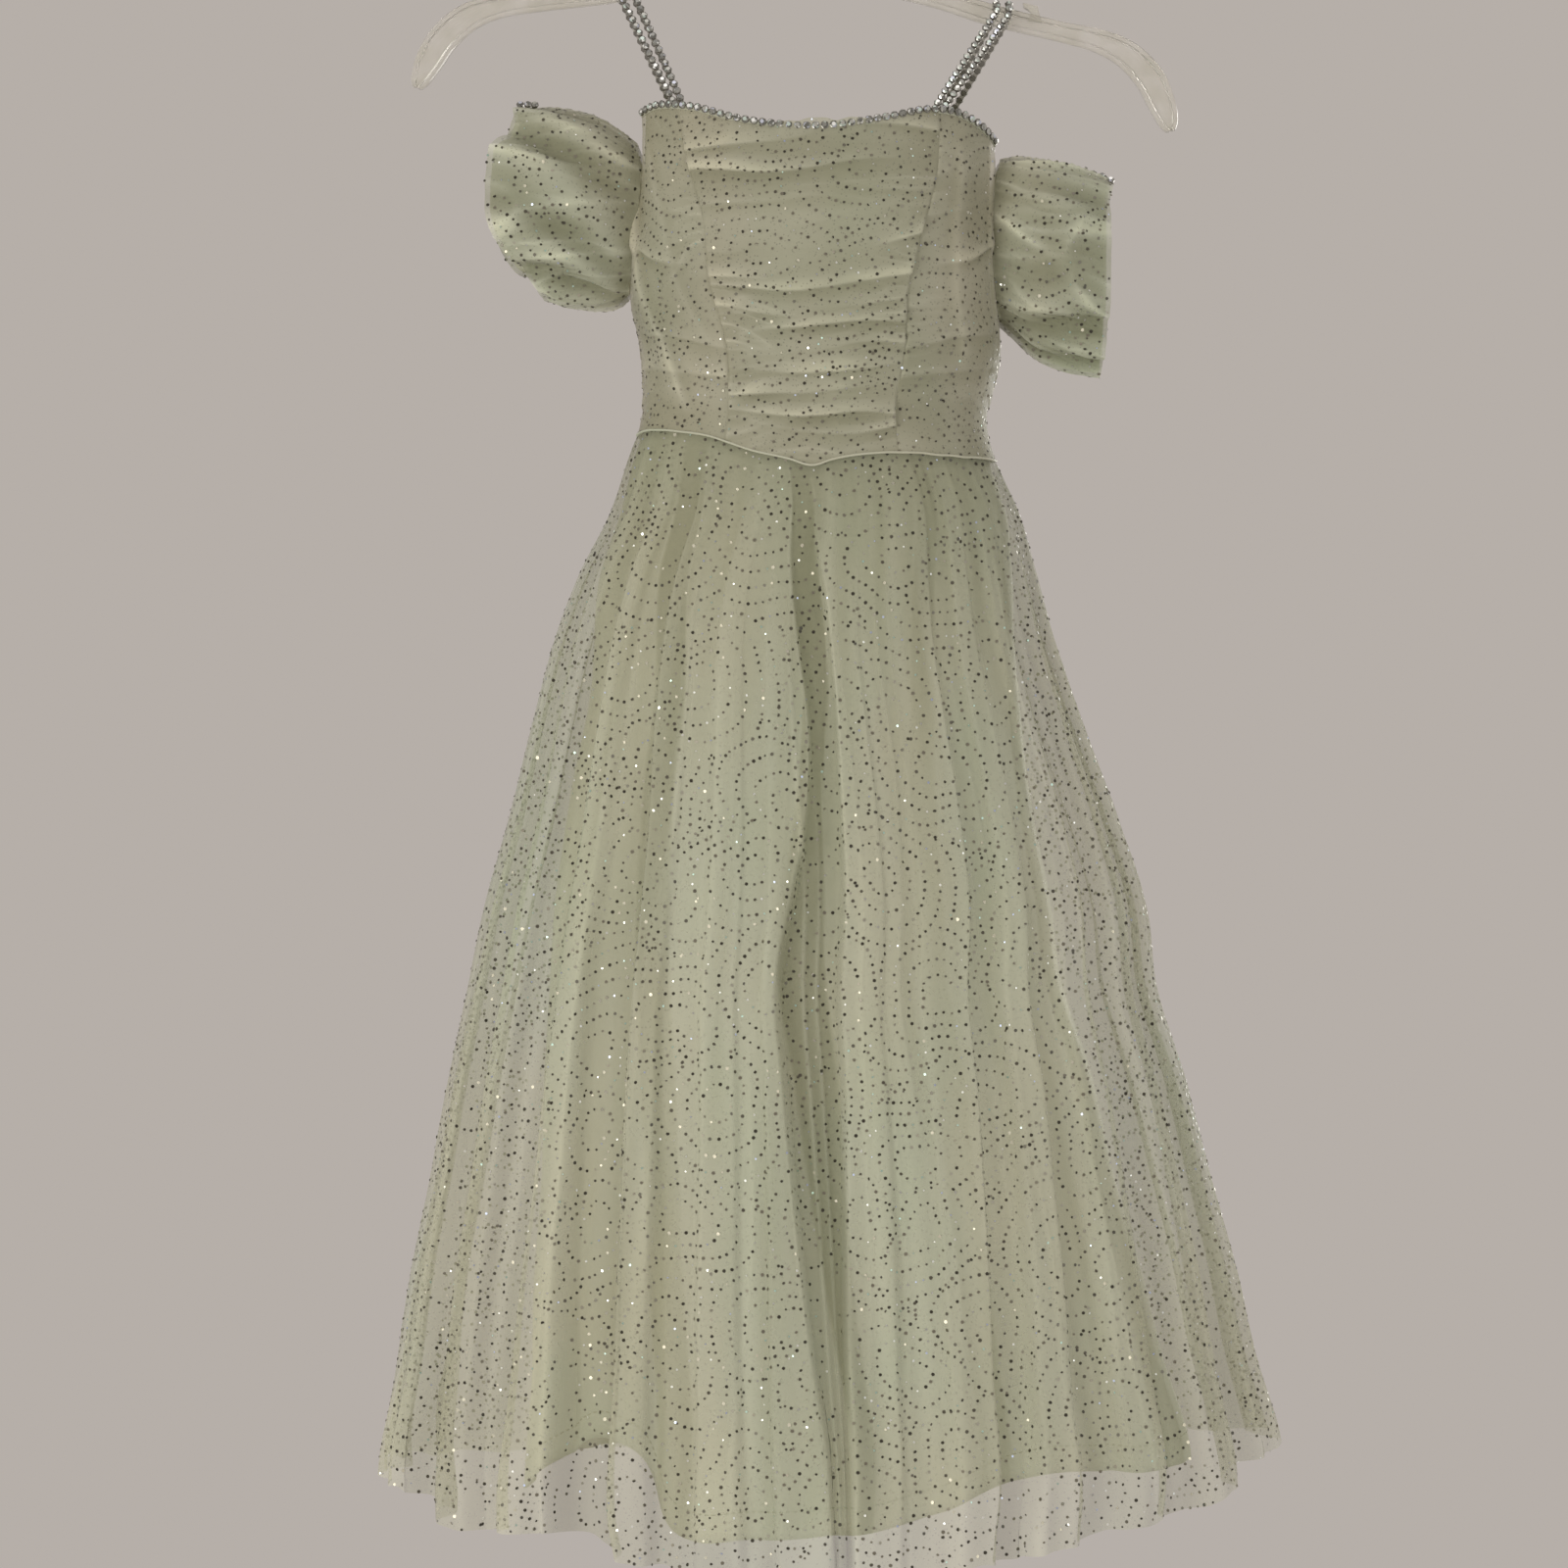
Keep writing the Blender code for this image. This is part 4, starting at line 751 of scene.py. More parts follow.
# Cloth of each part of the dress
def skirt_grid(edge, start, end, step, rows, wave):
    """Angles, drops and falls from the waist seam to an edge that a wave of a height and width moves."""
    angles = np.linspace(start, end, int((end - start) / step) + 1)
    height, width, seed = wave
    top = edge_drop(WAIST_EDGE, angles)
    hem = edge_drop(edge, angles) + height * noise(angles / width, 0, seed)
    drop = top + np.linspace(0, 1, rows)[:, None] * (hem - top)
    angle = angles + 0 * drop
    return angle, drop, waist_below(drop, angle)


def overskirt_cloth(start, end, sizes):
    """The tulle skirt: the overskirt's form with soft waves, creases that run down it and a fluttering hem."""
    step, rows = sizes.skirt_step, sizes.skirt_rows
    angle, drop, fall = skirt_grid(OVERSKIRT_HEM, start, end, step, rows, TULLE_HEM_WAVE)
    waves = ripple(angle, drop, TULLE_WAVES) * fall
    fine = ripple(angle, drop, TULLE_FINE) * fall**0.7
    sway = ripple(angle, drop, TULLE_SWAY)
    long = creases(angle / 4.2 + sway, drop / 260, 16, 5) * fade_in(fall, 0.2)
    gathers = ripple(angle, drop, TULLE_GATHERS) * np.exp(-fall / 0.1) * fade_in(fall, 0.01)
    flutter = ripple(angle, drop, TULLE_FLUTTER) * fade_in(fall, 0.2, 0.8) ** 2
    inner = trough(VALLEY_CREASES, angle, fall)
    height = (waves + fine + gathers + flutter + 0.8 * long + inner) * sizes.fold_strength
    points = raised(overskirt(angle, drop, CRISPNESS), height)
    # Its colour: painted shade and highlight lines of the folds, painted highlights on the long and valley
    # creases, and random clouds of tone
    clouds = ripple(angle, drop, TULLE_CLOUDS) * fade_in(fall, 0.05)
    relief = fold_shade(OVERSKIRT_FOLDS, angle, fall, 15) + clouds + 0.08 * long + 0.22 * inner
    return Cloth(points, flat_cut(points, "flared"), np.clip(relief, 0, 1))


def lining_cloth(start, end, sizes):
    """The satin skirt inside: the lining's form with long soft waves and a slightly wavy hem."""
    step, rows = sizes.skirt_step * LINING_COARSER, int(sizes.skirt_rows * LINING_ROWS)
    angle, drop, fall = skirt_grid(LINING_HEM, start, end, step, rows, LINING_HEM_WAVE)
    waves = ripple(angle, drop, LINING_WAVES) * fall
    fine = ripple(angle, drop, LINING_FINE) * fall
    points = raised(lining(angle, drop), (waves + fine - 0.8 * fall) * sizes.fold_strength)
    # Painted shadow of the overskirt's deep folds on the lining, painted shade and highlights of its own folds,
    # a painted highlight at its hem corner and random clouds of tone
    deep = [fold for fold in OVERSKIRT_FOLDS if fold.depth > CASTS_SHADOW]
    shadow = np.minimum(fold_shade(deep, angle, fall, 15) - 0.6, 0)
    tone = fold_shade(LINING_FOLDS, angle, fall, 25) + 1.35 * shadow
    corner = 0.4 * np.exp(-(((angle - LINING_CORNER) / 5) ** 2) - ((1 - fall) / 0.07) ** 2)
    relief = tone + corner + ripple(angle, drop, LINING_CLOUDS)
    return Cloth(points, flat_cut(points, "flared"), np.clip(relief, 0, 1))


def spread_over(values, reach, axis=0):
    """The mean of each value and its neighbours along a grid, within so many rows or columns either way."""
    if axis:
        return spread_over(values.T, reach).T
    total = np.cumsum(np.pad(values, [(reach + 1, reach), (0, 0)], mode="edge"), axis=0)
    wide = 2 * reach + 1
    return (total[wide:] - total[:-wide]) / wide


def pleats(ruches, share, drop):
    """Swags of cloth: each one's bell is broad above its line and steep below it, for a crisp lower edge."""
    total = 0 * drop
    for ruche in ruches:
        line = smooth(share, np.array([0, 0.5, 1]), np.array(ruche[:3], float))
        away = drop - (line + 3.4 * noise(share * 2.7, ruche.middle, 5))
        width = np.where(away < 0, SWAG_ABOVE * ruche.width, SWAG_BELOW * ruche.width)
        strength = np.clip(0.55 + 1.3 * noise(share * 1.8, ruche.middle * 1.7, 6), 0.05, 1.4)
        total = np.maximum(total, strength * ruche.height * bell(away / width))
    return total


def ruched_cloth(panel):
    """A panel of gathered tulle: pleats and fine creases across it, drawn in where it meets its seams."""
    share, fall, angle, drop = panel_grid(panel.start, panel.end, panel.columns, panel.rows)
    seed = panel.seed
    across = (1 - share if panel.mirrored else share) + 0 * drop
    edge = fade_in(np.minimum(share, 1 - share), 0.022) + 0 * drop
    at_seams = 0.3 + 0.7 * np.sqrt(1 - (1 - edge) ** 2)
    fine = creases(across * 2.2, drop / 8.0 + 1.8 * noise(across * 2, drop / 40, seed + 1), seed, 4)
    finer = creases(across * 4.0, drop / 4.2 + noise(across * 3, drop / 30, seed + 3), seed + 2, 4)
    patches = np.clip(0.35 + 0.8 * noise(across * 2.0, drop / 30, seed + 4), 0, 1)
    near_seams = 1 + 1.2 * np.exp(-np.minimum(across, 1 - across) / 0.08)
    swags = 1.1 * pleats(panel.ruches, across, drop)
    height = swags + panel.fineness * near_seams * patches * (0.9 * fine + 0.4 * finer)
    for fold in panel.drapes:
        line = fold.share + (fold.end_share - fold.share) * fade_in(drop, fold.end - fold.drop, fold.drop)
        along = fade_in(drop, 14, fold.drop) * np.clip((fold.end - drop) / 14, 0, 1)
        away = (across - line) / fold.width
        height = height + fold.height * along * bell(away / np.where(away < 0, 0.35, 1.0))
    # How far the cloth stands above or sinks below its neighbours, which sets its painted shade and highlights
    by_rows = height - spread_over(height, panel.rows // 22)
    cavity = by_rows + 0.6 * (height - spread_over(height, panel.columns // 12, 1))
    height = height * at_seams - 0.25 * (1 - at_seams) + 0.3
    if panel.humps:
        hump = sum(tall * bell((angle - at) / width, power) for at, width, power, tall in panel.humps)
        at_top = np.clip(1 - fall[:, None] / 0.04, 0, 1)
        drop = drop - hump * at_top
        height = height + 1.8 * at_top * (hump > 0.3)
    points = off_body(angle, drop, height)
    # Its colour: random tone, with painted shade in the hollows between swags and near the seams and painted
    # highlights on the swags
    tone = 0.14 * noise(across * 1.6, drop / 16, seed + 5) + 0.08 * noise(across * 5, drop / 50, seed + 6)
    relief = np.clip((0.5 + 0.3 * cavity + tone) * (0.92 + 0.08 * at_seams), 0, 1)
    return Cloth(points, flat_cut(points, "panel"), relief)


def satin_cloth(start, end):
    """The smooth satin under the bodice's tulle, a little inside it."""
    angle, drop = panel_grid(upright(start), upright(end), *SATIN_GRID)[2:]
    points = off_body(angle, drop, ripple(angle, drop, SATIN_WAVES) - SATIN_INSIDE)
    return Cloth(points, flat_cut(points, "panel"), 0 * drop + 0.6)


def sleeve_cloth(sleeve, turns, rings, inset, reach):
    """A sleeve's tube with wrinkles that run from the armhole to the cuff, and a rippled cuff edge."""
    along, turn = np.meshgrid(np.linspace(0, reach, rings), np.linspace(0, 360, turns + 1), indexing="ij")
    points, inward = sleeve_form(sleeve, turn, along)
    swell = np.sin(np.pi * np.clip(along, 0, 1) * 0.8) + 0.25
    one, two = np.cos(np.radians(turn)) * 2.2, np.sin(np.radians(turn)) * 2.2
    wrinkles = -0.6 * inward + sum(
        creases(one * fine + along * a, two * fine + along * b, sleeve.seed + more, sharpness) * tall
        for fine, a, b, more, sharpness, tall in WRINKLES
    )
    cuff = 1.8 * noise(one * 3.5, two * 3.5, sleeve.seed + 2) * fade_in(along, 0.25, 0.75)
    beside = np.abs(signed(turn * sleeve.side - SLEEVE_PINCH)) / SLEEVE_PINCH_WIDTH
    points[..., 0] -= sleeve.side * sleeve.pinch * bell(beside) * np.clip(along, 0, 1) ** 3
    points = raised(points, (wrinkles - 1.0) * swell + cuff - inset)
    points[:, -1] = points[:, 0]
    # Its colour: painted shade in the folds and near the armhole, painted highlights on the wrinkles, and
    # random tone
    cavity = wrinkles - spread_over(wrinkles, turns // 20, 1)
    painted_hollow_shade = 0.09 * inward + 0.3 * bell(along / 0.11)
    relief = 0.6 - painted_hollow_shade + 0.26 * cavity + 0.1 * noise(one * 1.5, two * 1.5, sleeve.seed + 4)
    return Cloth(points, flat_cut(points, "tube"), np.clip(relief, 0, 1))


# The five panels of gathered tulle and the spans of the satin under them
Panel = namedtuple("Panel", "name start end columns rows ruches mirrored fineness seed humps drapes")
LEFT, RIGHT = upright(-SIDE_ANGLE), upright(SIDE_ANGLE)
PRINCESSES = seam(PRINCESS_LEFT), seam(PRINCESS_RIGHT)
PANELS = table(
    Panel,
    ("front_centre", *PRINCESSES, 131, 240, CENTRE_RUCHES, False, 1.0, 201, NECK_HUMPS, ()),
    ("side_left", LEFT, PRINCESSES[0], 101, 190, SIDE_RUCHES, True, 0.6, 211, (), LEFT_DRAPES),
    ("side_right", PRINCESSES[1], RIGHT, 101, 190, SIDE_RUCHES, False, 0.6, 221, (), RIGHT_DRAPES),
    ("back_right", RIGHT, upright(BACK_RIGHT), 121, 150, SIDE_RUCHES, False, 0.5, 231, (), ()),
    ("back_left", upright(BACK_LEFT), LEFT, 121, 150, SIDE_RUCHES, True, 0.5, 241, (), ()),
)
SATIN_SPANS = {
    "front": (-SIDE_ANGLE, SIDE_ANGLE),
    "back_right": (SIDE_ANGLE, BACK_RIGHT),
    "back_left": (BACK_LEFT, -SIDE_ANGLE),
}
HALVES = {"front": (-SIDE_ANGLE, SIDE_ANGLE), "back": (SIDE_ANGLE, 360 - SIDE_ANGLE)}


# Materials
def give(tree, node, values):
    """Gives a node its settings and inputs by name; an input takes a constant or another node's output."""
    for name, value in values.items():
        if name not in node.inputs:
            setattr(node, name, value)
        elif isinstance(value, bpy.types.NodeSocket):
            tree.links.new(value, node.inputs[name])
        else:
            node.inputs[name].default_value = value


def add_node(tree, kind, output=0, **values):
    """The output of a new node."""
    node = tree.nodes.new(kind)
    give(tree, node, values)
    return node.outputs[output]


def new_material(name, colour, roughness, **values):
    """A Principled material whose constants are on the shader's own sockets."""
    made = bpy.data.materials.new(name)
    made.use_nodes = True
    constants = {"Base Color": (*colour, 1), "Roughness": roughness, "Sheen Roughness": 0.4}
    give(made.node_tree, made.node_tree.nodes["Principled BSDF"], {**constants, **values})
    return made, made.node_tree, made.node_tree.nodes["Principled BSDF"]


def shade(colour, factor, warm=0.0):
    """A colour made lighter or darker, and warmer by taking from its blue."""
    return tuple(min(1.0, c * factor * (1 - warm * (i == 2))) for i, c in enumerate(colour))


def ramped(tree, value, stops, stepped=False):
    """A colour that goes by a value, through (place, colour) stops."""
    ramp = tree.nodes.new("ShaderNodeValToRGB")
    tree.links.new(value, ramp.inputs["Fac"])
    for place, _ in stops[1:-1]:
        ramp.color_ramp.elements.new(place)
    for element, (place, colour) in zip(ramp.color_ramp.elements, stops):
        element.position = place
        element.color = (*colour, 1)
    if stepped:
        ramp.color_ramp.interpolation = "CONSTANT"
    return ramp.outputs["Color"]


def attribute(tree, name):
    return add_node(tree, "ShaderNodeAttribute", "Fac", attribute_name=name)


def coordinates(tree, kind):
    return add_node(tree, "ShaderNodeTexCoord", kind)


def mixed(tree, factor, first, second, **values):
    colours = {"data_type": "RGBA", "Factor": factor, "A": first, "B": second}
    return add_node(tree, "ShaderNodeMix", "Result", **colours, **values)


def add_bump(tree, shader, height, strength, distance):
    bump = add_node(tree, "ShaderNodeBump", "Normal", Strength=strength, Distance=distance, Height=height)
    tree.links.new(bump, shader.inputs["Normal"])


def tinted(tree, base, scale, stretch):
    """Broad clouds of faint tints over a colour, drawn out along the height."""
    place = coordinates(tree, "Object")
    place = add_node(tree, "ShaderNodeMapping", "Vector", Vector=place, Scale=(1, 1, stretch))
    clouds = add_node(tree, "ShaderNodeTexNoise", "Fac", Vector=place, Scale=scale, Detail=3.0, Roughness=0.55)
    tints = ramped(tree, clouds, CLOTH_TINTS)
    return mixed(tree, 1.0, base, tints, blend_type="MULTIPLY")


def cloth_material(name, colour, cover, roughness, sheen, net_strength, dark, speckled=False):
    """Cloth: painted shade, darker and warmer, in its hollows and a painted highlight on its ridges, cloudy,
    netted on its flat cut, with fine specks.
    """
    values = {"Alpha": cover, "Sheen Weight": sheen}
    made, tree, shader = new_material(name, colour, roughness, **values)
    # dark sets the painted shade of the deepest hollows; the last stop is a painted highlight
    painted_hollow_shade, slope = shade(colour, dark, 0.16), shade(colour, 0.5 + dark / 2, 0.07)
    stops = ((0.0, painted_hollow_shade), (0.4, slope), (UNSHADED_LEVEL, colour), (1.0, shade(colour, 1.5)))
    base = tinted(tree, ramped(tree, attribute(tree, "relief"), stops), 9.0, 0.45)
    place = coordinates(tree, "UV")
    if speckled:
        specks = add_node(tree, "ShaderNodeTexVoronoi", "Distance", Vector=place, Scale=SPECK_SCALE)
        limits = {"From Min": 0.14, "From Max": 0.26, "To Min": 0.5, "To Max": 0.0}
        spot = add_node(tree, "ShaderNodeMapRange", "Result", Value=specks, **limits)
        base = mixed(tree, spot, base, (*shade(colour, 0.35), 1))
    tree.links.new(base, shader.inputs["Base Color"])
    values = {"feature": "DISTANCE_TO_EDGE", "Vector": place, "Scale": NET_SCALE}
    net = add_node(tree, "ShaderNodeTexVoronoi", "Distance", **values)
    add_bump(tree, shader, net, net_strength, 0.0003)
    return made


def satin_material(name, colour, roughness):
    """Satin: a soft sheen, painted shade in its hollows and a painted highlight on its ridges, with clouds of
    tone and a fine weave along the cut.
    """
    made, tree, shader = new_material(name, colour, roughness, **{"Sheen Weight": 0.15, "Anisotropic": 0.35})
    painted_hollow_shade, slope = shade(colour, 0.55, 0.2), shade(colour, 0.8, 0.08)
    stops = ((0.0, painted_hollow_shade), (0.35, slope), (UNSHADED_LEVEL, colour), (1.0, shade(colour, 1.2)))
    base = tinted(tree, ramped(tree, attribute(tree, "relief"), stops), 14.0, 0.5)
    tree.links.new(base, shader.inputs["Base Color"])
    place = coordinates(tree, "UV")
    weave = add_node(tree, "ShaderNodeTexWave", "Fac", Vector=place, Scale=WEAVE_SCALE, Distortion=1.2)
    add_bump(tree, shader, weave, 0.12, 0.0002)
    return made


def flecked_material(name, colour, roughness, stops, **values):
    """Small shapes whose colour goes by each one's own random tone, which picks its painted light."""
    made, tree, shader = new_material(name, colour, roughness, **values)
    tree.links.new(ramped(tree, attribute(tree, "tone"), stops, True), shader.inputs["Base Color"])
    return made


def glitter_material(colours):
    """Foil dots whose colours are painted glints and reflections, picked by each dot's random tone: mostly
    dark, some pale, and a few that flash green, blue and white.
    """
    dark, bright = colours.glitter_dark, colours.glitter_bright
    stops = (
        (0.0, dark),
        (0.34, shade(dark, 1.9)),
        (0.58, shade(dark, 3.4)),
        (GLINT_DOTS, shade(bright, 0.55)),
        (0.91, (0.45, 0.62, 0.54)),
        (0.945, (0.5, 0.56, 0.72)),
        (0.97, bright),
    )
    known = bpy.data.materials.get("glitter foil")
    return known or flecked_material("glitter foil", dark, 0.28, stops, Metallic=0.8)


def crystal_material(stone):
    """Cut stones with a grey foil back; each facet's colour is a painted reflection picked by its random tone,
    from dark and grey through faint green and blue to a white painted glint.
    """
    stops = (
        (0.0, shade(stone, 0.35)),
        (0.3, shade(stone, 0.6)),
        (0.55, stone),
        (0.75, (0.58, 0.68, 0.62)),
        (0.85, (0.62, 0.65, 0.76)),
        (0.93, (0.95, 0.96, 0.94)),
    )
    values = {"Metallic": 0.3, "Specular IOR Level": 0.6, "Coat Weight": 0.4, "Coat Roughness": 0.03}
    return flecked_material("cut stones", stone, 0.12, stops, **values)


def mottled_material(name, colour, roughness, scale, stops, rough_range, **values):
    """A hard material with clouds of tone and of roughness; its noise is returned with it."""
    made, tree, shader = new_material(name, colour, roughness, **values)
    place = coordinates(tree, "Object")
    smears = add_node(tree, "ShaderNodeTexNoise", "Fac", Vector=place, Scale=scale, Detail=4.0)
    limits = {"To Min": rough_range[0], "To Max": rough_range[1]}
    rough = add_node(tree, "ShaderNodeMapRange", "Result", Value=smears, **limits)
    give(tree, shader, {"Base Color": ramped(tree, smears, stops), "Roughness": rough})
    return made, smears


def metal_material(name, colour, roughness):
    """Plated metal with faint smears."""
    stops = ((0.3, shade(colour, 0.8)), (0.7, colour))
    limits = (roughness * 0.7, roughness * 1.5)
    return mottled_material(name, colour, roughness, 180.0, stops, limits, Metallic=1.0)[0]


def clear_plastic_material(colour):
    """Moulded clear plastic with flow lines and a slightly scuffed skin."""
    stops = ((0.35, shade(colour, 0.9, 0.05)), (0.65, colour))
    values = {"Transmission Weight": 0.75, "IOR": 1.45}
    made, flow = mottled_material("clear plastic", colour, 0.12, 60.0, stops, (0.06, 0.2), **values)
    add_bump(made.node_tree, made.node_tree.nodes["Principled BSDF"], flow, 0.15, 0.0004)
    return made


# Glitter
def dotted_rings(low, high, glitter, seed):
    """Dots on nested wobbly rings round scattered centres, kept where their own centre's ring is nearest."""
    rng = np.random.default_rng(seed)
    gap = glitter.centre_gap
    counts = np.ceil((high - low) / gap).astype(int) + 2
    cells = np.stack(np.meshgrid(*map(np.arange, counts), indexing="ij"), axis=-1).reshape(-1, 2)
    staggered = low + (cells - 0.5 + 0.5 * (cells[:, 1:] % 2) * [1, 0]) * gap
    centres = staggered + rng.uniform(-0.33, 0.33, cells.shape) * gap
    wobble = rng.uniform([0.12, 0.05, 0.02], [0.34, 0.17, 0.08], (len(centres), 3))
    phase = rng.uniform(0, 2 * pi, (len(centres), 3))

    def stretch(theta, which):
        waves = zip(wobble[which], (2, 3, 5), phase[which])
        return sum((size * np.cos(lobes * theta + shift) for size, lobes, shift in waves), 1)

    dots, levels, owners = [], [], []
    theta = np.linspace(0, 2 * pi, 361)
    circle = np.stack([np.cos(theta), np.sin(theta)], axis=1)
    for which, centre in enumerate(centres):
        reach = glitter.first_ring * rng.uniform(0.7, 1.3)
        while reach < gap * 1.1:
            line = centre + (reach * stretch(theta, which))[:, None] * circle
            run = run_lengths(line)
            places = np.arange(rng.uniform(0, 1), int(run[-1] / glitter.dot_gap)) * glitter.dot_gap
            places = places + rng.normal(0, 0.25, places.shape)
            dots.append(at_run(places, run, line))
            levels.append(np.full(len(places), reach))
            owners.append(np.full(len(places), which))
            reach += glitter.ring_gap
    dots, levels, owners = map(np.concatenate, (dots, levels, owners))
    keep = np.all((dots > low) & (dots < high), axis=1)
    dots, levels, owners = dots[keep], levels[keep], owners[keep]
    least = np.full(len(dots), np.inf)
    for which, centre in enumerate(centres):
        away = dots - centre
        distance = np.linalg.norm(away, axis=1) / stretch(np.arctan2(away[:, 1], away[:, 0]), which)
        least = np.where(owners == which, least, np.minimum(least, distance))
    dots = dots[least > levels - 0.45 * glitter.ring_gap]
    cell = np.floor(dots / (glitter.dot_gap * 0.62)).astype(int)
    first = np.unique(cell, axis=0, return_index=True)[1]
    return dots[np.sort(first)]


def circles(side, other, turn):
    """Unit circles of points, one for each pair of level directions."""
    return side[:, None] * np.cos(turn)[:, None] + other[:, None] * np.sin(turn)[:, None]


def glitter_piece(name, cloth, settings, seed, scale=1.0):
    """Foil dots on a cloth: each is a six-sided flake on the surface, tilted a little by chance."""
    glitter = settings.glitter
    rng = np.random.default_rng(seed + 1)
    flat = cloth.flat.reshape(-1, 2)
    row, col = find_on_cloth(cloth.flat, dotted_rings(flat.min(axis=0), flat.max(axis=0), glitter, seed))
    place = sample(cloth.points, row, col)[0]
    normal = sample(normals_of(cloth.points), row, col)[0]
    normal = unit(normal + rng.normal(0, glitter.tilt, place.shape))
    side = unit(np.cross(normal, rng.normal(size=place.shape)))
    # Each dot's random tone picks its painted glint, and the dots that glint most are made smaller
    glint_tones = rng.uniform(size=len(place))
    size = scale * glitter.dot_size / 2 * rng.uniform(0.7, 1.2, (len(place), 1, 1))
    size = size * np.where(glint_tones > GLINT_DOTS, 0.68, 1.0)[:, None, None]
    ring = circles(side, np.cross(normal, side), np.arange(6) * pi / 3)
    points = (place + normal * DOT_LIFT)[:, None] + ring * size
    finish = glitter_material(settings.colours)
    piece = new_piece(name, points, copied([list(range(6))], 6, len(place)), [finish], False)
    add_values(piece.data, "tone", "FACE", glint_tones)
    return piece


# Stones, stitches and tapes
def stone_piece(name, centres, outs, alongs, radius, finishes, seed):
    """Round stones in metal cups: rings of eight points for cup and girdle, crown facets and a flat table."""
    outs = unit(outs)
    alongs = unit(alongs - outs * (alongs * outs).sum(1, keepdims=True))
    others = np.cross(outs, alongs)
    rings = [
        centres[:, None]
        + circles(alongs, others, (np.arange(8) + twist) * pi / 4) * reach * radius
        + outs[:, None] * height * radius
        for reach, height, twist in STONE_PROFILE
    ]
    shape = tube_faces(len(rings), 8, True)
    count = len(centres)
    faces = copied(shape, 8 * len(rings), count)
    piece = new_piece(name, np.stack(rings, axis=1), faces, finishes, False)
    # Each face's random tone picks its painted reflection
    add_values(piece.data, "tone", "FACE", np.random.default_rng(seed).uniform(size=len(faces)))
    metal_or_stone = [0] * 24 + [1] * 8 + [0, 1]
    piece.data.polygons.foreach_set("material_index", np.array(metal_or_stone * count, np.int32))
    return piece


def evenly_along(path, out, gap):
    """Even steps along a path of points: the places, the way out and the way along at each."""
    run = run_lengths(path)
    places = np.linspace(gap / 2, run[-1] - gap / 2, max(2, round((run[-1] - gap) / gap) + 1))
    points = at_run(places, run, path)
    return points, at_run(places, run, out), np.gradient(points, axis=0)


def stitch_piece(name, path, out, finish):
    """Sewn stitches along a path: each thread has three rings of four points and is thickest in its middle."""
    spots, ways, along = evenly_along(path, out, STITCH_GAP)
    along = unit(along)
    side = unit(np.cross(along, ways))
    up = np.cross(side, along)
    rings = []
    for place, wide in ((-0.5, 0.45), (0.0, 1.0), (0.5, 0.45)):
        middle = spots + along * place * STITCH_GAP * STITCH_SHARE + up * THREAD * (wide - 0.6)
        corners = ((1, 0), (0, 1), (-1, 0), (0, -1))
        rings.append(np.stack([middle + (side * a + up * b) * THREAD * wide for a, b in corners], axis=1))
    return new_piece(name, np.stack(rings, axis=1), copied(tube_faces(3, 4, True), 12, len(spots)), [finish])


def tape_piece(name, path, out, side_half, half_thick, finish):
    """A thin tape along a path: a four-cornered profile set by the path's own out direction."""
    side = unit(np.cross(np.gradient(path, axis=0), out))
    out = unit(out)
    corners = ((-1, -1), (1, -1), (1, 1), (-1, 1))
    rings = np.stack([path + side * a * side_half + out * b * half_thick for a, b in corners], axis=1)
    return swept_piece(name, rings, finish)


def joined_pieces(pieces, name):
    """Several new meshes as one piece."""
    bpy.ops.object.select_all(action="DESELECT")
    for piece in pieces:
        piece.select_set(True)
    bpy.context.view_layer.objects.active = pieces[0]
    bpy.ops.object.join()
    pieces[0].name = name
    pieces[0].data.name = name
    return pieces[0]


# The hanger and the straps over its arms
def rolled(out, below):
    """A point of the upright hanger after it is rolled about the middle of its hook."""
    turn = np.radians(HANGER_ROLL)
    under = below - HOOK_RADIUS
    x = out * np.cos(turn) - under * np.sin(turn)
    return x, HOOK_RADIUS + out * np.sin(turn) + under * np.cos(turn)


def arm_frames():
    """Stations along both arms, left to right, the way up at each, and the arms' top edge."""
    places = np.arange(len(ARM), dtype=float)
    at = np.linspace(0, len(ARM) - 1, ARM_STEPS)[1:]
    half = np.stack([smooth(at, places, column(ARM, name)) for name in ArmStation._fields], axis=1)
    path = np.concatenate([half[::-1] * np.array([-1, 1, 1]), np.array([ARM[0]], float), half])
    along = unit(np.gradient(path[:, :2], axis=0))
    up = np.stack([along[:, 1], -along[:, 0]], axis=1)
    return path, up, path[:, :2] + up * path[:, 2:] / 2


def arm_rings():
    """Rings of the arms' section: a web with a rounded flange along each edge."""
    path, up, _ = arm_frames()
    half = path[:, 2:] / 2
    flange, soft = np.minimum(FLANGE_DEPTH, half * 0.7), np.minimum(1.0, half * 0.3)
    heights = np.hstack([half, half - 0.25 * soft, half - soft, half - flange, half - flange - 0.5 * soft])
    heights = np.hstack([heights, -heights[:, ::-1]])
    heights = np.hstack([heights, heights[:, ::-1]])
    widths = [FLANGE_HALF - 1.0, FLANGE_HALF - 0.25, FLANGE_HALF, FLANGE_HALF - 0.3, WEB_HALF]
    widths = np.array(widths + widths[::-1])
    widths = np.concatenate([widths, -widths[::-1]])
    x, drop = rolled(path[:, :1] + up[:, :1] * heights + ARMS_OFFSET, path[:, 1:2] + up[:, 1:] * heights)
    return np.stack([x, widths + 0 * x, -drop], axis=-1)


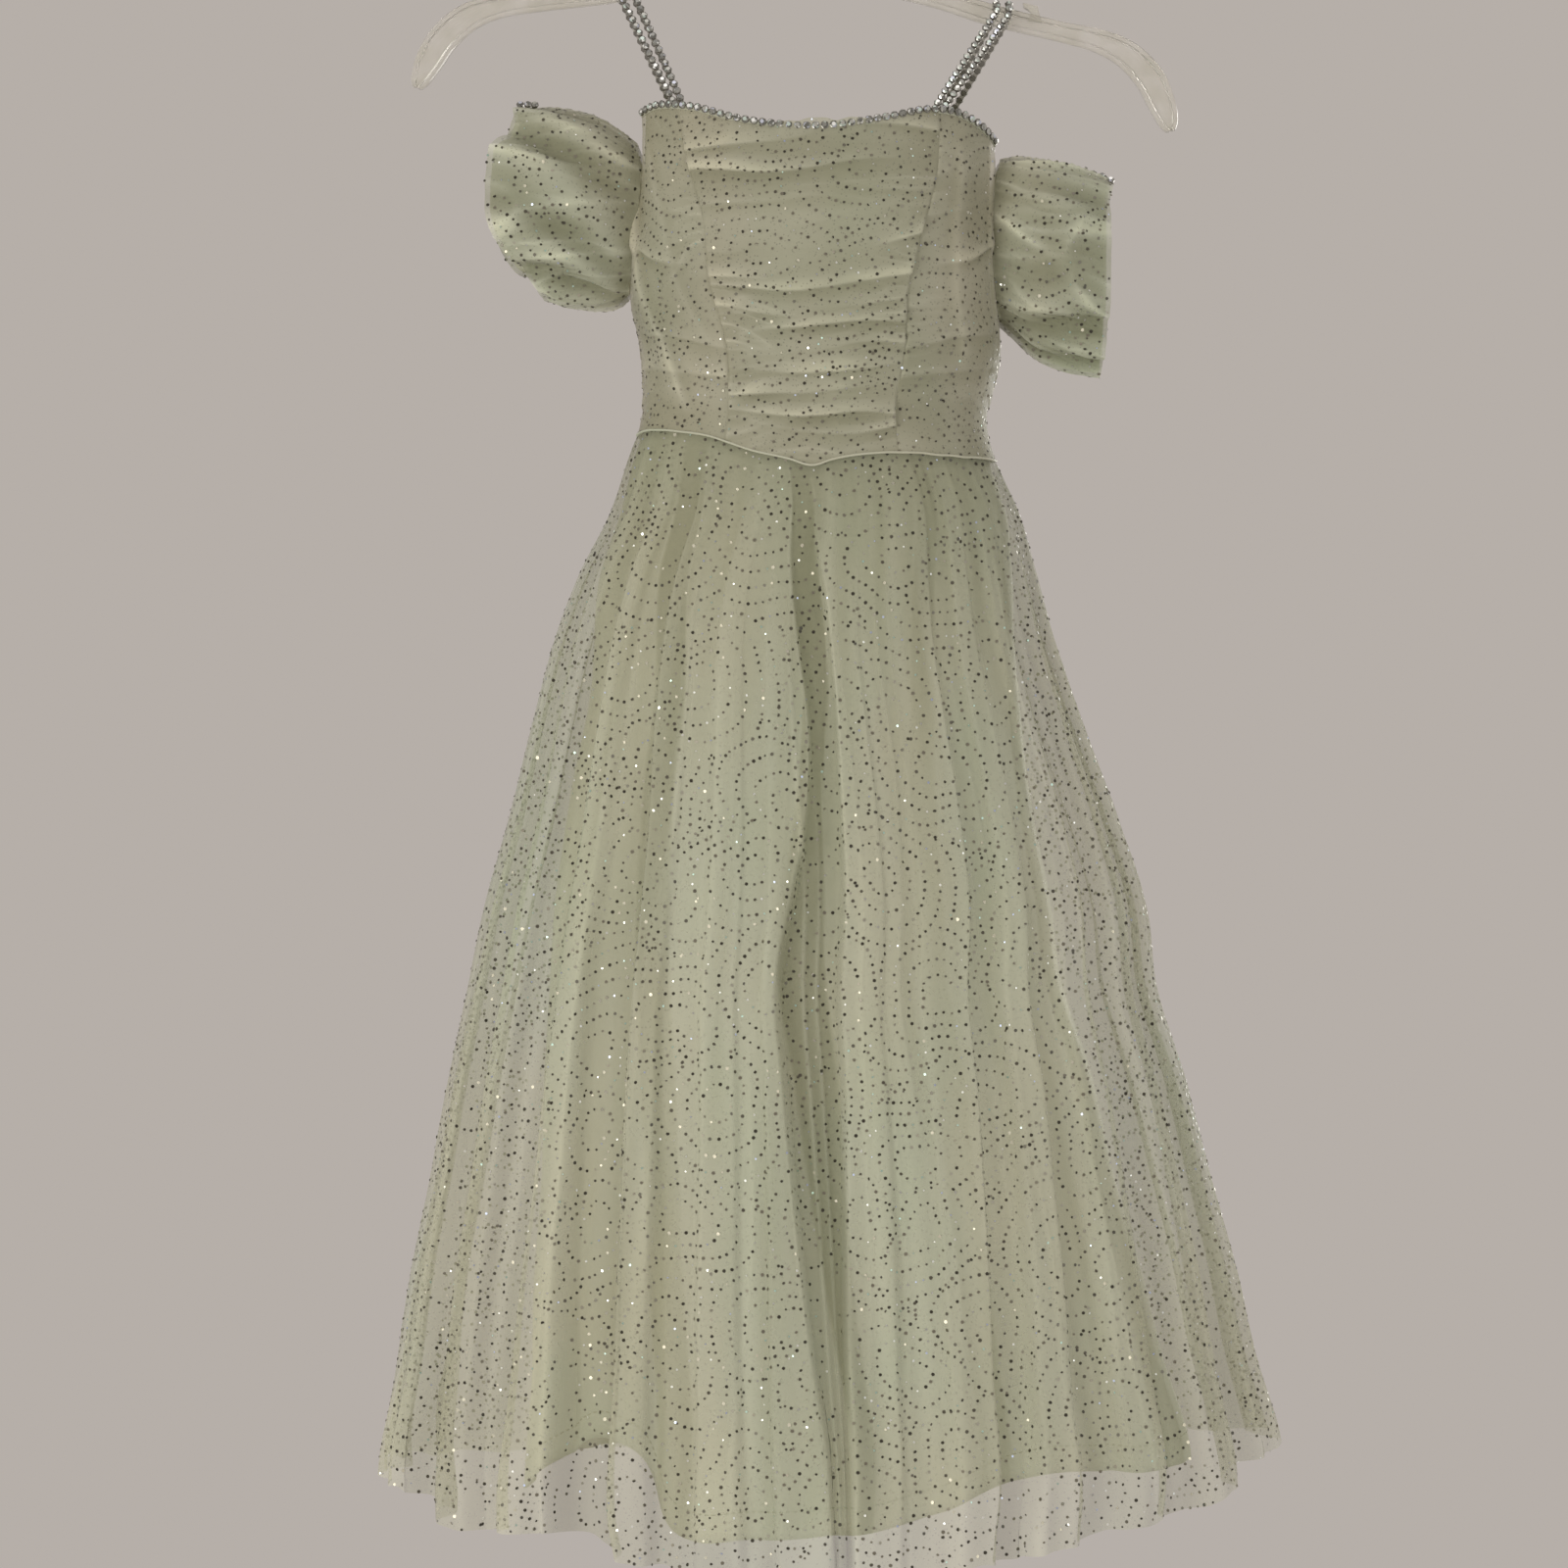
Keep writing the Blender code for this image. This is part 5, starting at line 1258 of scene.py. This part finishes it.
def strap_path(strap):
    """A strap's middle line: straight up to the arm, round it in an arc and straight down behind."""
    front, back = (
        off_body(np.array(angle, float), edge_drop(NECK_EDGE, angle) - STRAP_FOOT_GAP, -STRAP_THICKNESS / 2)
        for angle in (strap.front_angle, strap.back_angle)
    )
    top = arm_frames()[2]
    x, drop = rolled(top[:, 0] + ARMS_OFFSET, top[:, 1])
    turns = np.radians(np.linspace(-STRAP_WRAP, STRAP_WRAP, 25))
    radius = STRAP_OVER_ARM + STRAP_THICKNESS / 2
    middle = np.interp(strap.arm_x, x, drop) + STRAP_OVER_ARM - STRAP_LIFT
    arc = np.stack([strap.arm_x + 0 * turns, radius * np.sin(turns), radius * np.cos(turns) - middle], axis=1)
    shares = np.linspace(0, 1, 16)[:-1, None]
    return np.concatenate([front + (arc[0] - front) * shares, arc, (back + (arc[-1] - back) * shares)[::-1]])


def strap_rows(strap, stones):
    """The two rows of stones on a strap, close at its feet and apart where it crosses the arm."""
    path = strap_path(strap)
    run = run_lengths(path)
    share = np.clip(np.sin(np.pi * run / run[-1]), 0, 1) ** 0.8
    apart = stones.spread_foot + (stones.spread_top - stones.spread_foot) * share
    along = unit(np.gradient(path, axis=0))
    side = unit(np.array([1.0, 0, 0]) - along * along[:, :1])
    return [(path + side * apart[:, None] * way / 2, np.cross(side, along)) for way in (-1, 1)]


def neck_line(first, last, above=0.4, out=1.3):
    """The neck edge as a path of points on the body, and the way out at each."""
    angles = np.linspace(first, last, 160)
    drop = edge_drop(NECK_EDGE, angles) + above
    path = off_body(angles, drop, out + 0 * angles)
    return path, path - off_body(angles, drop, 0 * angles)


# What a user would change
def number(name, description, default, kind=bpy.props.FloatProperty, **more):
    return kind(name=name, description=description, default=default, **more)


def share_of_one(name, description, default):
    return number(name, description, default, min=0, max=1, subtype="FACTOR")


def colour_setting(name, description, default):
    return bpy.props.FloatVectorProperty(
        name=name, description=description, default=default, subtype="COLOR", min=0, max=1, size=3
    )


class ClothSettings(bpy.types.PropertyGroup):
    skirt_step: number("Skirt step", "Degrees between columns of the skirt's cloth", 0.28, min=0.2, max=3)
    skirt_rows: number(
        "Skirt rows", "Rows of the skirt's cloth from waist to hem", 106, bpy.props.IntProperty, min=20, max=300
    )
    fold_strength: number("Fine folds", "Height of the fine waves in the skirts", 1.0, min=0, max=2)
    tulle_cover: share_of_one("Skirt tulle cover", "How much one layer of skirt tulle hides", 0.43)
    bodice_cover: share_of_one("Bodice tulle cover", "How much the gathered tulle hides", 0.72)
    sleeve_cover: share_of_one("Sleeve tulle cover", "How much the sleeve tulle hides", 0.6)


class GlitterSettings(bpy.types.PropertyGroup):
    centre_gap: number("Centre gap", "Millimetres between the centres of the rings", 56.0, min=20, max=200)
    first_ring: number("First ring", "Mean radius of the innermost ring in millimetres", 8.0, min=2, max=40)
    ring_gap: number("Ring gap", "Millimetres from ring to ring", 7.7, min=2, max=30)
    dot_gap: number("Dot gap", "Millimetres from dot to dot along a ring", 4.05, min=1, max=20)
    dot_size: number("Dot size", "Width of a dot in millimetres", 1.65, min=0.4, max=5)
    tilt: number("Tilt", "How unevenly the dots lie", 0.22, min=0, max=1)


class StoneSettings(bpy.types.PropertyGroup):
    gap: number("Stone gap", "Millimetres from stone to stone", 4.4, min=2, max=12)
    radius: number("Stone radius", "Radius of a stone's cup in millimetres", 2.0, min=0.8, max=5)
    spread_top: number("Spread at the arm", "Millimetres between a strap's rows over the arm", 6.4)
    spread_foot: number("Spread at the neckline", "Millimetres between a strap's rows at its feet", 4.0)


class ColourSettings(bpy.types.PropertyGroup):
    tulle: colour_setting("Tulle", "Ivory net with a green-grey cast", (0.522, 0.538, 0.415))
    # The bodice tulle is darker than the skirt's, partly as denser gathered net and partly as painted shade at
    # the top of the dress
    ruched: colour_setting("Bodice tulle", "Gathered ivory net", (0.44, 0.43, 0.325))
    satin: colour_setting("Satin", "Ivory satin", (0.607, 0.619, 0.486))
    glitter_dark: colour_setting("Dark glitter", "Foil dots in shade", (0.075, 0.07, 0.055))
    glitter_bright: colour_setting("Bright glitter", "Foil dots that catch the light", (0.95, 0.96, 0.9))
    stone: colour_setting("Stones", "Cut stones on grey foil", (0.44, 0.44, 0.4))
    silver: colour_setting("Cups", "Plated cups of the stones", (0.3, 0.29, 0.265))
    plastic: colour_setting("Hanger", "Clear plastic", (0.93, 0.91, 0.87))
    chrome: colour_setting("Hook and zip", "Polished plating", (0.78, 0.78, 0.79))


class StageSettings(bpy.types.PropertyGroup):
    backdrop: colour_setting("Backdrop", "Pale lilac white", (0.468, 0.428, 0.395))
    backdrop_strength: number("Backdrop strength", "Brightness of the surroundings", 1.0, min=0, max=4)
    key_power: number("Key light", "Power of the large front light", 28.0, unit="POWER")
    fill_power: number("Fill light", "Power of the right-hand light", 8.5, unit="POWER")
    floor_drop: number("Floor", "Depth of the floor below the hook", 1.25, unit="LENGTH")


class DressSettings(bpy.types.PropertyGroup):
    cloth: bpy.props.PointerProperty(type=ClothSettings)
    glitter: bpy.props.PointerProperty(type=GlitterSettings)
    stones: bpy.props.PointerProperty(type=StoneSettings)
    colours: bpy.props.PointerProperty(type=ColourSettings)
    stage: bpy.props.PointerProperty(type=StageSettings)


class Maker:
    """What the operators share: each makes its pieces from the scene's settings."""

    def execute(self, context):
        self.make(context.scene.dress)
        return {"FINISHED"}


class DRESS_OT_lining(Maker, bpy.types.Operator):
    """Make the satin lining skirt"""

    bl_idname = "dress.lining"
    bl_label = "Lining skirt"

    def make(self, settings):
        colours = settings.colours
        satin = satin_material("lining satin", colours.satin, 0.5)
        thread = cloth_material("sewing thread", shade(colours.satin, 0.9), 1.0, 0.6, 0.1, 0.1, 0.8)
        for half, span in HALVES.items():
            name, cloth = "lining_" + half, lining_cloth(*span, settings.cloth)
            settle_sheet("satin_" + name, cloth, satin, "satin", [name], "hung", "waist_piping", thickness=0.4)
            path, out = cloth.points[HEM_STITCH_ROW], normals_of(cloth.points)[HEM_STITCH_ROW]
            settle(stitch_piece("hem_stitches_" + name, path, out, thread))


class DRESS_OT_overskirt(Maker, bpy.types.Operator):
    """Make the sheer tulle overskirt and its glitter"""

    bl_idname = "dress.overskirt"
    bl_label = "Overskirt"

    def make(self, settings):
        colours = settings.colours
        cover = settings.cloth.tulle_cover
        tulle = cloth_material("skirt tulle", colours.tulle, cover, 0.75, 0.25, 0.2, 0.55, True)
        for half, span in HALVES.items():
            name, cloth = "overskirt_" + half, overskirt_cloth(*span, settings.cloth)
            nodes = [name + "_left", name + "_right"]
            settle_sheet("tulle_" + name, cloth, tulle, "glitter_tulle", nodes, "hung", "waist_piping")
            settle(glitter_piece("glitter_" + name, cloth, settings, 101 + len(half)))


class DRESS_OT_bodice(Maker, bpy.types.Operator):
    """Make the satin bodice, the ruched tulle over it and its glitter"""

    bl_idname = "dress.bodice"
    bl_label = "Bodice"

    def make(self, settings):
        colours = settings.colours
        satin = satin_material("bodice satin", colours.satin, 0.42)
        for name, span in SATIN_SPANS.items():
            name, cloth = "satin_bodice_" + name, satin_cloth(*span)
            settle_sheet(name, cloth, satin, "satin", (), "stretched", "waist_piping", thickness=0.5)
        cover = settings.cloth.bodice_cover
        tulle = cloth_material("bodice tulle", colours.ruched, cover, 0.6, 0.3, 0.15, 0.6, True)
        for count, panel in enumerate(PANELS):
            name, cloth = "bodice_" + panel.name, ruched_cloth(panel)
            settle_sheet("tulle_" + name, cloth, tulle, "ruched_tulle", [name], "gathered", "waist_piping")
            dots = glitter_piece("glitter_" + name, cloth, settings, 301 + 10 * count, scale=0.9)
            settle(dots)


class DRESS_OT_sleeves(Maker, bpy.types.Operator):
    """Make the puff sleeves, their lining and their glitter"""

    bl_idname = "dress.sleeves"
    bl_label = "Sleeves"

    def make(self, settings):
        colours = settings.colours
        cover = settings.cloth.sleeve_cover
        # The sleeve tulle is the skirt's tulle made darker: painted shade, as the top of the dress lies in
        # shade
        tulle = cloth_material("sleeve tulle", shade(colours.tulle, 0.92), cover, 0.7, 0.3, 0.15, 0.5, True)
        under = cloth_material("sleeve lining", shade(colours.satin, 0.96), 0.9, 0.6, 0.2, 0.1, 0.75)
        for side, sleeve in SLEEVES.items():
            name, cloth = "sleeve_" + side, sleeve_cloth(sleeve, *SLEEVE_TULLE)
            held = ("gathered", "tulle_bodice_side_" + side)
            settle_sheet("tulle_" + name, cloth, tulle, "glitter_tulle", [name], *held, closed=True)
            inner = sleeve_cloth(sleeve, *SLEEVE_LINING)
            held = ("gathered", "tulle_" + name)
            settle_sheet("lining_" + name, inner, under, "satin", (), *held, closed=True)
            settle(glitter_piece("glitter_" + name, cloth, settings, 401 + sleeve.seed))


class DRESS_OT_stones(Maker, bpy.types.Operator):
    """Make the rows of stones on the straps, the neckline and the sleeve corners"""

    bl_idname = "dress.stones"
    bl_label = "Stone trim"

    def make(self, settings):
        colours = settings.colours
        gap, radius = settings.stones.gap, settings.stones.radius
        crystal = crystal_material(colours.stone)
        finishes = [metal_material("plated cups", colours.silver, 0.25), crystal]
        tape = cloth_material("trim tape", shade(colours.tulle, 0.8), 1.0, 0.6, 0.1, 0.1, 0.8)
        backing = metal_material("chain backs", shade(colours.silver, 1.7), 0.4)
        for count, strap in enumerate(STRAPS):
            pieces = []
            for row, (path, out) in enumerate(strap_rows(strap, settings.stones)):
                spots, ways, along = evenly_along(path, out, gap)
                name, seed = f"{strap.name}_row_{row}", 500 + 10 * count + row
                pieces.append(stone_piece(name, spots + ways * 0.8, ways, along, radius, finishes, seed))
                pieces.append(tape_piece(name + "_tape", path, out, 1.2, 0.35, backing))
            settle(joined_pieces(pieces, strap.name + "_stones"), [strap.name])
        for count, (name, span) in enumerate(NECK_TRIMS.items()):
            spots, ways, along = evenly_along(*neck_line(*span), gap)
            label, seat = name + "_stones", spots + ways * 0.3
            stones = stone_piece(label, seat, ways, along, radius, finishes, 540 + count)
            edging = tape_piece(name + "_tape", *neck_line(*span, 1.2, 0.7), 1.4, 0.3, tape)
            settle(joined_pieces([stones, edging], label), [name])
        for count, (side, span) in enumerate(SLEEVE_STONES.items()):
            sleeve = SLEEVES[side]
            turn, along = np.linspace(*span) * sleeve.side, np.linspace(0.985, 0.84, span[-1])
            spots = sleeve_form(sleeve, turn, along)[0] + np.array([0, 0, 1.2])
            ways, along = np.tile(np.array([[0.0, -0.75, 0.65]]), (len(spots), 1)), np.gradient(spots, axis=0)
            name = f"sleeve_{side}_stones"
            settle(stone_piece(name, spots, ways, along, radius, finishes, 560 + count))


class DRESS_OT_piping(Maker, bpy.types.Operator):
    """Make the satin piping in the pointed waist seam"""

    bl_idname = "dress.piping"
    bl_label = "Waist piping"

    def make(self, settings):
        colours = settings.colours
        satin = satin_material("piping satin", shade(colours.satin, 0.88), 0.36)
        angles = np.linspace(BACK_LEFT, BACK_RIGHT, 481)
        drop = edge_drop(WAIST_EDGE, angles) + 0.25 * noise(angles / 6, 0, 81)
        path = off_body(angles, drop, 0.3 + 0.25 * noise(angles / 4, 0, 82))
        out = unit(path - off_body(angles, drop, -1 + 0 * angles))
        up, turn = np.array([0, 0, 1.0]), full_turn(10)
        rings = [path + out * a + up * b for a, b in zip(0.95 * np.cos(turn), 0.6 * np.sin(turn))]
        piece = swept_piece("satin_waist_piping", np.stack(rings, axis=1), satin)
        settle(piece, ["waist_piping"])


def plate(name, finish):
    """Gives a CAD node that shows as it is its own material."""
    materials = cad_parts[name].data.materials
    materials.clear()
    materials.append(finish)


class DRESS_OT_hanger(Maker, bpy.types.Operator):
    """Make the clear hanger's arms and give the hook its plating"""

    bl_idname = "dress.hanger"
    bl_label = "Hanger"

    def make(self, settings):
        colours = settings.colours
        clear = clear_plastic_material(colours.plastic)
        pieces = [swept_piece("clear_hanger", arm_rings(), clear)]
        top, outline = arm_frames()[2], np.array(FINGER_OUTLINE)
        for side in (-1, 1):
            base = np.interp(side * FINGER_OUT, top[:, 0], top[:, 1])
            x, drop = rolled(side * (FINGER_OUT + outline[:, 0]) + ARMS_OFFSET, base - outline[:, 1])
            rings = np.stack([np.stack([x, 0 * x + y, -drop], axis=-1) for y in (-FINGER_HALF, FINGER_HALF)])
            rings = rings if side < 0 else rings[:, ::-1]
            pieces.append(swept_piece(f"finger_{side + 1}", rings, clear, False))
        turn, boss = full_turn(32), []
        for below, wide in ((BOSS_TOP, 0.8), (BOSS_TOP + 0.8, 1.0), (BOSS_BOTTOM, 1.0)):
            x, drop = rolled(ARMS_OFFSET + BOSS_RADIUS * wide * np.cos(turn), below + 0 * turn)
            boss.append(np.stack([x, BOSS_RADIUS * wide * np.sin(turn), -drop], axis=-1))
        pieces.append(swept_piece("boss", np.array(boss), clear))
        settle(joined_pieces(pieces, "clear_hanger"), ["hanger_body"])
        plate("hanger_hook", metal_material("hook plating", colours.chrome, 0.16))


class DRESS_OT_zip(Maker, bpy.types.Operator):
    """Make the concealed zip's tapes and give its slider and pull tab their plating"""

    bl_idname = "dress.zip"
    bl_label = "Zip"

    def make(self, settings):
        colours = settings.colours
        chrome = metal_material("zip plating", shade(colours.chrome, 0.78), 0.24)
        plate("zip_slider", chrome)
        plate("zip_pull", chrome)
        tape = cloth_material("zip tape", shade(colours.satin, 0.74), 1.0, 0.6, 0.1, 0.2, 0.85)
        drops = np.linspace(*ZIP_DROPS)
        behind = BACK_ANGLE + 0 * drops
        spine = np.where((drops < ZIP_WAIST)[:, None], body(behind, drops), overskirt(behind, drops))
        spine[:, 0] = spread_over(spine[:, :1], 16)[:, 0]
        out = np.tile(np.array([[0.0, 1.0, 0.0]]), (len(drops), 1))
        rise = ZIP_RISE * fade_in(drops[:, None], ZIP_RISE_LENGTH, ZIP_RISE_START)
        tapes = []
        for side in (-1, 1):
            path = spine + np.array([ZIP_TAPE_OUT * side, 0.7, 0]) + out * rise
            tapes.append(tape_piece(f"zip_edge_{side + 1}", path, out, ZIP_TAPE_HALF, 0.8 + rise, tape))
        settle(joined_pieces(tapes, "zip_placket"))


def area_light(light, power):
    """A square soft light that faces a point."""
    lamp = bpy.data.lights.new(light.name, "AREA")
    lamp.shape = "RECTANGLE"
    lamp.size, lamp.size_y = light.size
    lamp.energy = power
    lamp.color = light.colour
    thing = bpy.data.objects.new(light.name, lamp)
    thing.location = light.place
    x, y, z = way = np.array(light.aim) - np.array(light.place)
    thing.rotation_euler = (float(np.arccos(-z / np.linalg.norm(way))), 0.0, float(np.arctan2(y, x) - pi / 2))
    bpy.context.scene.collection.objects.link(thing)


class DRESS_OT_stage(Maker, bpy.types.Operator):
    """Make the floor, the pale surroundings, the soft lights and the photograph's camera"""

    bl_idname = "dress.stage"
    bl_label = "Stage"

    def make(self, settings):
        stage, scene = settings.stage, bpy.context.scene
        scene.view_settings.view_transform = "Standard"
        world = bpy.data.worlds.new("pale room")
        world.use_nodes = True
        background = world.node_tree.nodes["Background"]
        give(world.node_tree, background, {"Color": (*stage.backdrop, 1), "Strength": stage.backdrop_strength})
        scene.world = world
        turn = full_turn(FLOOR_SIDES)
        x, y = np.cos(turn), np.sin(turn)
        rings = np.stack([np.stack([r * x, r * y, 0 * x - stage.floor_drop / MM], axis=1) for r in FLOOR_RADII])
        sides = tube_faces(2, FLOOR_SIDES)[:FLOOR_SIDES]
        finish = new_material("pale floor", (0.7, 0.68, 0.68), 0.8)[0]
        new_piece("floor", rings, sides + [list(range(FLOOR_SIDES))], [finish], False)
        for light in LIGHTS:
            area_light(light, getattr(stage, light.setting) * light.share)
        camera = bpy.data.cameras.new("photograph")
        camera.lens = CAMERA_LENS
        camera.sensor_width = CAMERA_SENSOR
        camera.sensor_fit = "HORIZONTAL"
        viewer = bpy.data.objects.new("photograph", camera)
        viewer.location = CAMERA_PLACE
        viewer.rotation_euler = (pi / 2, 0, 0)
        scene.collection.objects.link(viewer)
        scene.camera = viewer


OPERATORS = (
    DRESS_OT_stage,
    DRESS_OT_hanger,
    DRESS_OT_lining,
    DRESS_OT_bodice,
    DRESS_OT_sleeves,
    DRESS_OT_piping,
    DRESS_OT_stones,
    DRESS_OT_overskirt,
    DRESS_OT_zip,
)


class DRESS_PT_panel(bpy.types.Panel):
    """Lists the dress's settings and pieces"""

    bl_label = "Flower girl dress"
    bl_idname = "DRESS_PT_panel"
    bl_space_type = "VIEW_3D"
    bl_region_type = "UI"
    bl_category = "Dress"

    def draw(self, context):
        settings = context.scene.dress
        for name in ("cloth", "glitter", "stones", "colours", "stage"):
            group = getattr(settings, name)
            box = self.layout.box()
            box.label(text=name.capitalize())
            for prop in group.bl_rna.properties:
                if prop.identifier not in ("rna_type", "name"):
                    box.prop(group, prop.identifier)
        for operator in OPERATORS:
            self.layout.operator(operator.bl_idname)


SETTINGS = (ClothSettings, GlitterSettings, StoneSettings, ColourSettings, StageSettings, DressSettings)
CLASSES = (*SETTINGS, *OPERATORS, DRESS_PT_panel)


def register():
    for one in CLASSES:
        bpy.utils.register_class(one)
    bpy.types.Scene.dress = bpy.props.PointerProperty(type=DressSettings)


def unregister():
    del bpy.types.Scene.dress
    for one in reversed(CLASSES):
        bpy.utils.unregister_class(one)


def main():
    register()
    for operator in OPERATORS:
        group, name = operator.bl_idname.split(".")
        getattr(getattr(bpy.ops, group), name)()


if __name__ == "__main__":
    main()
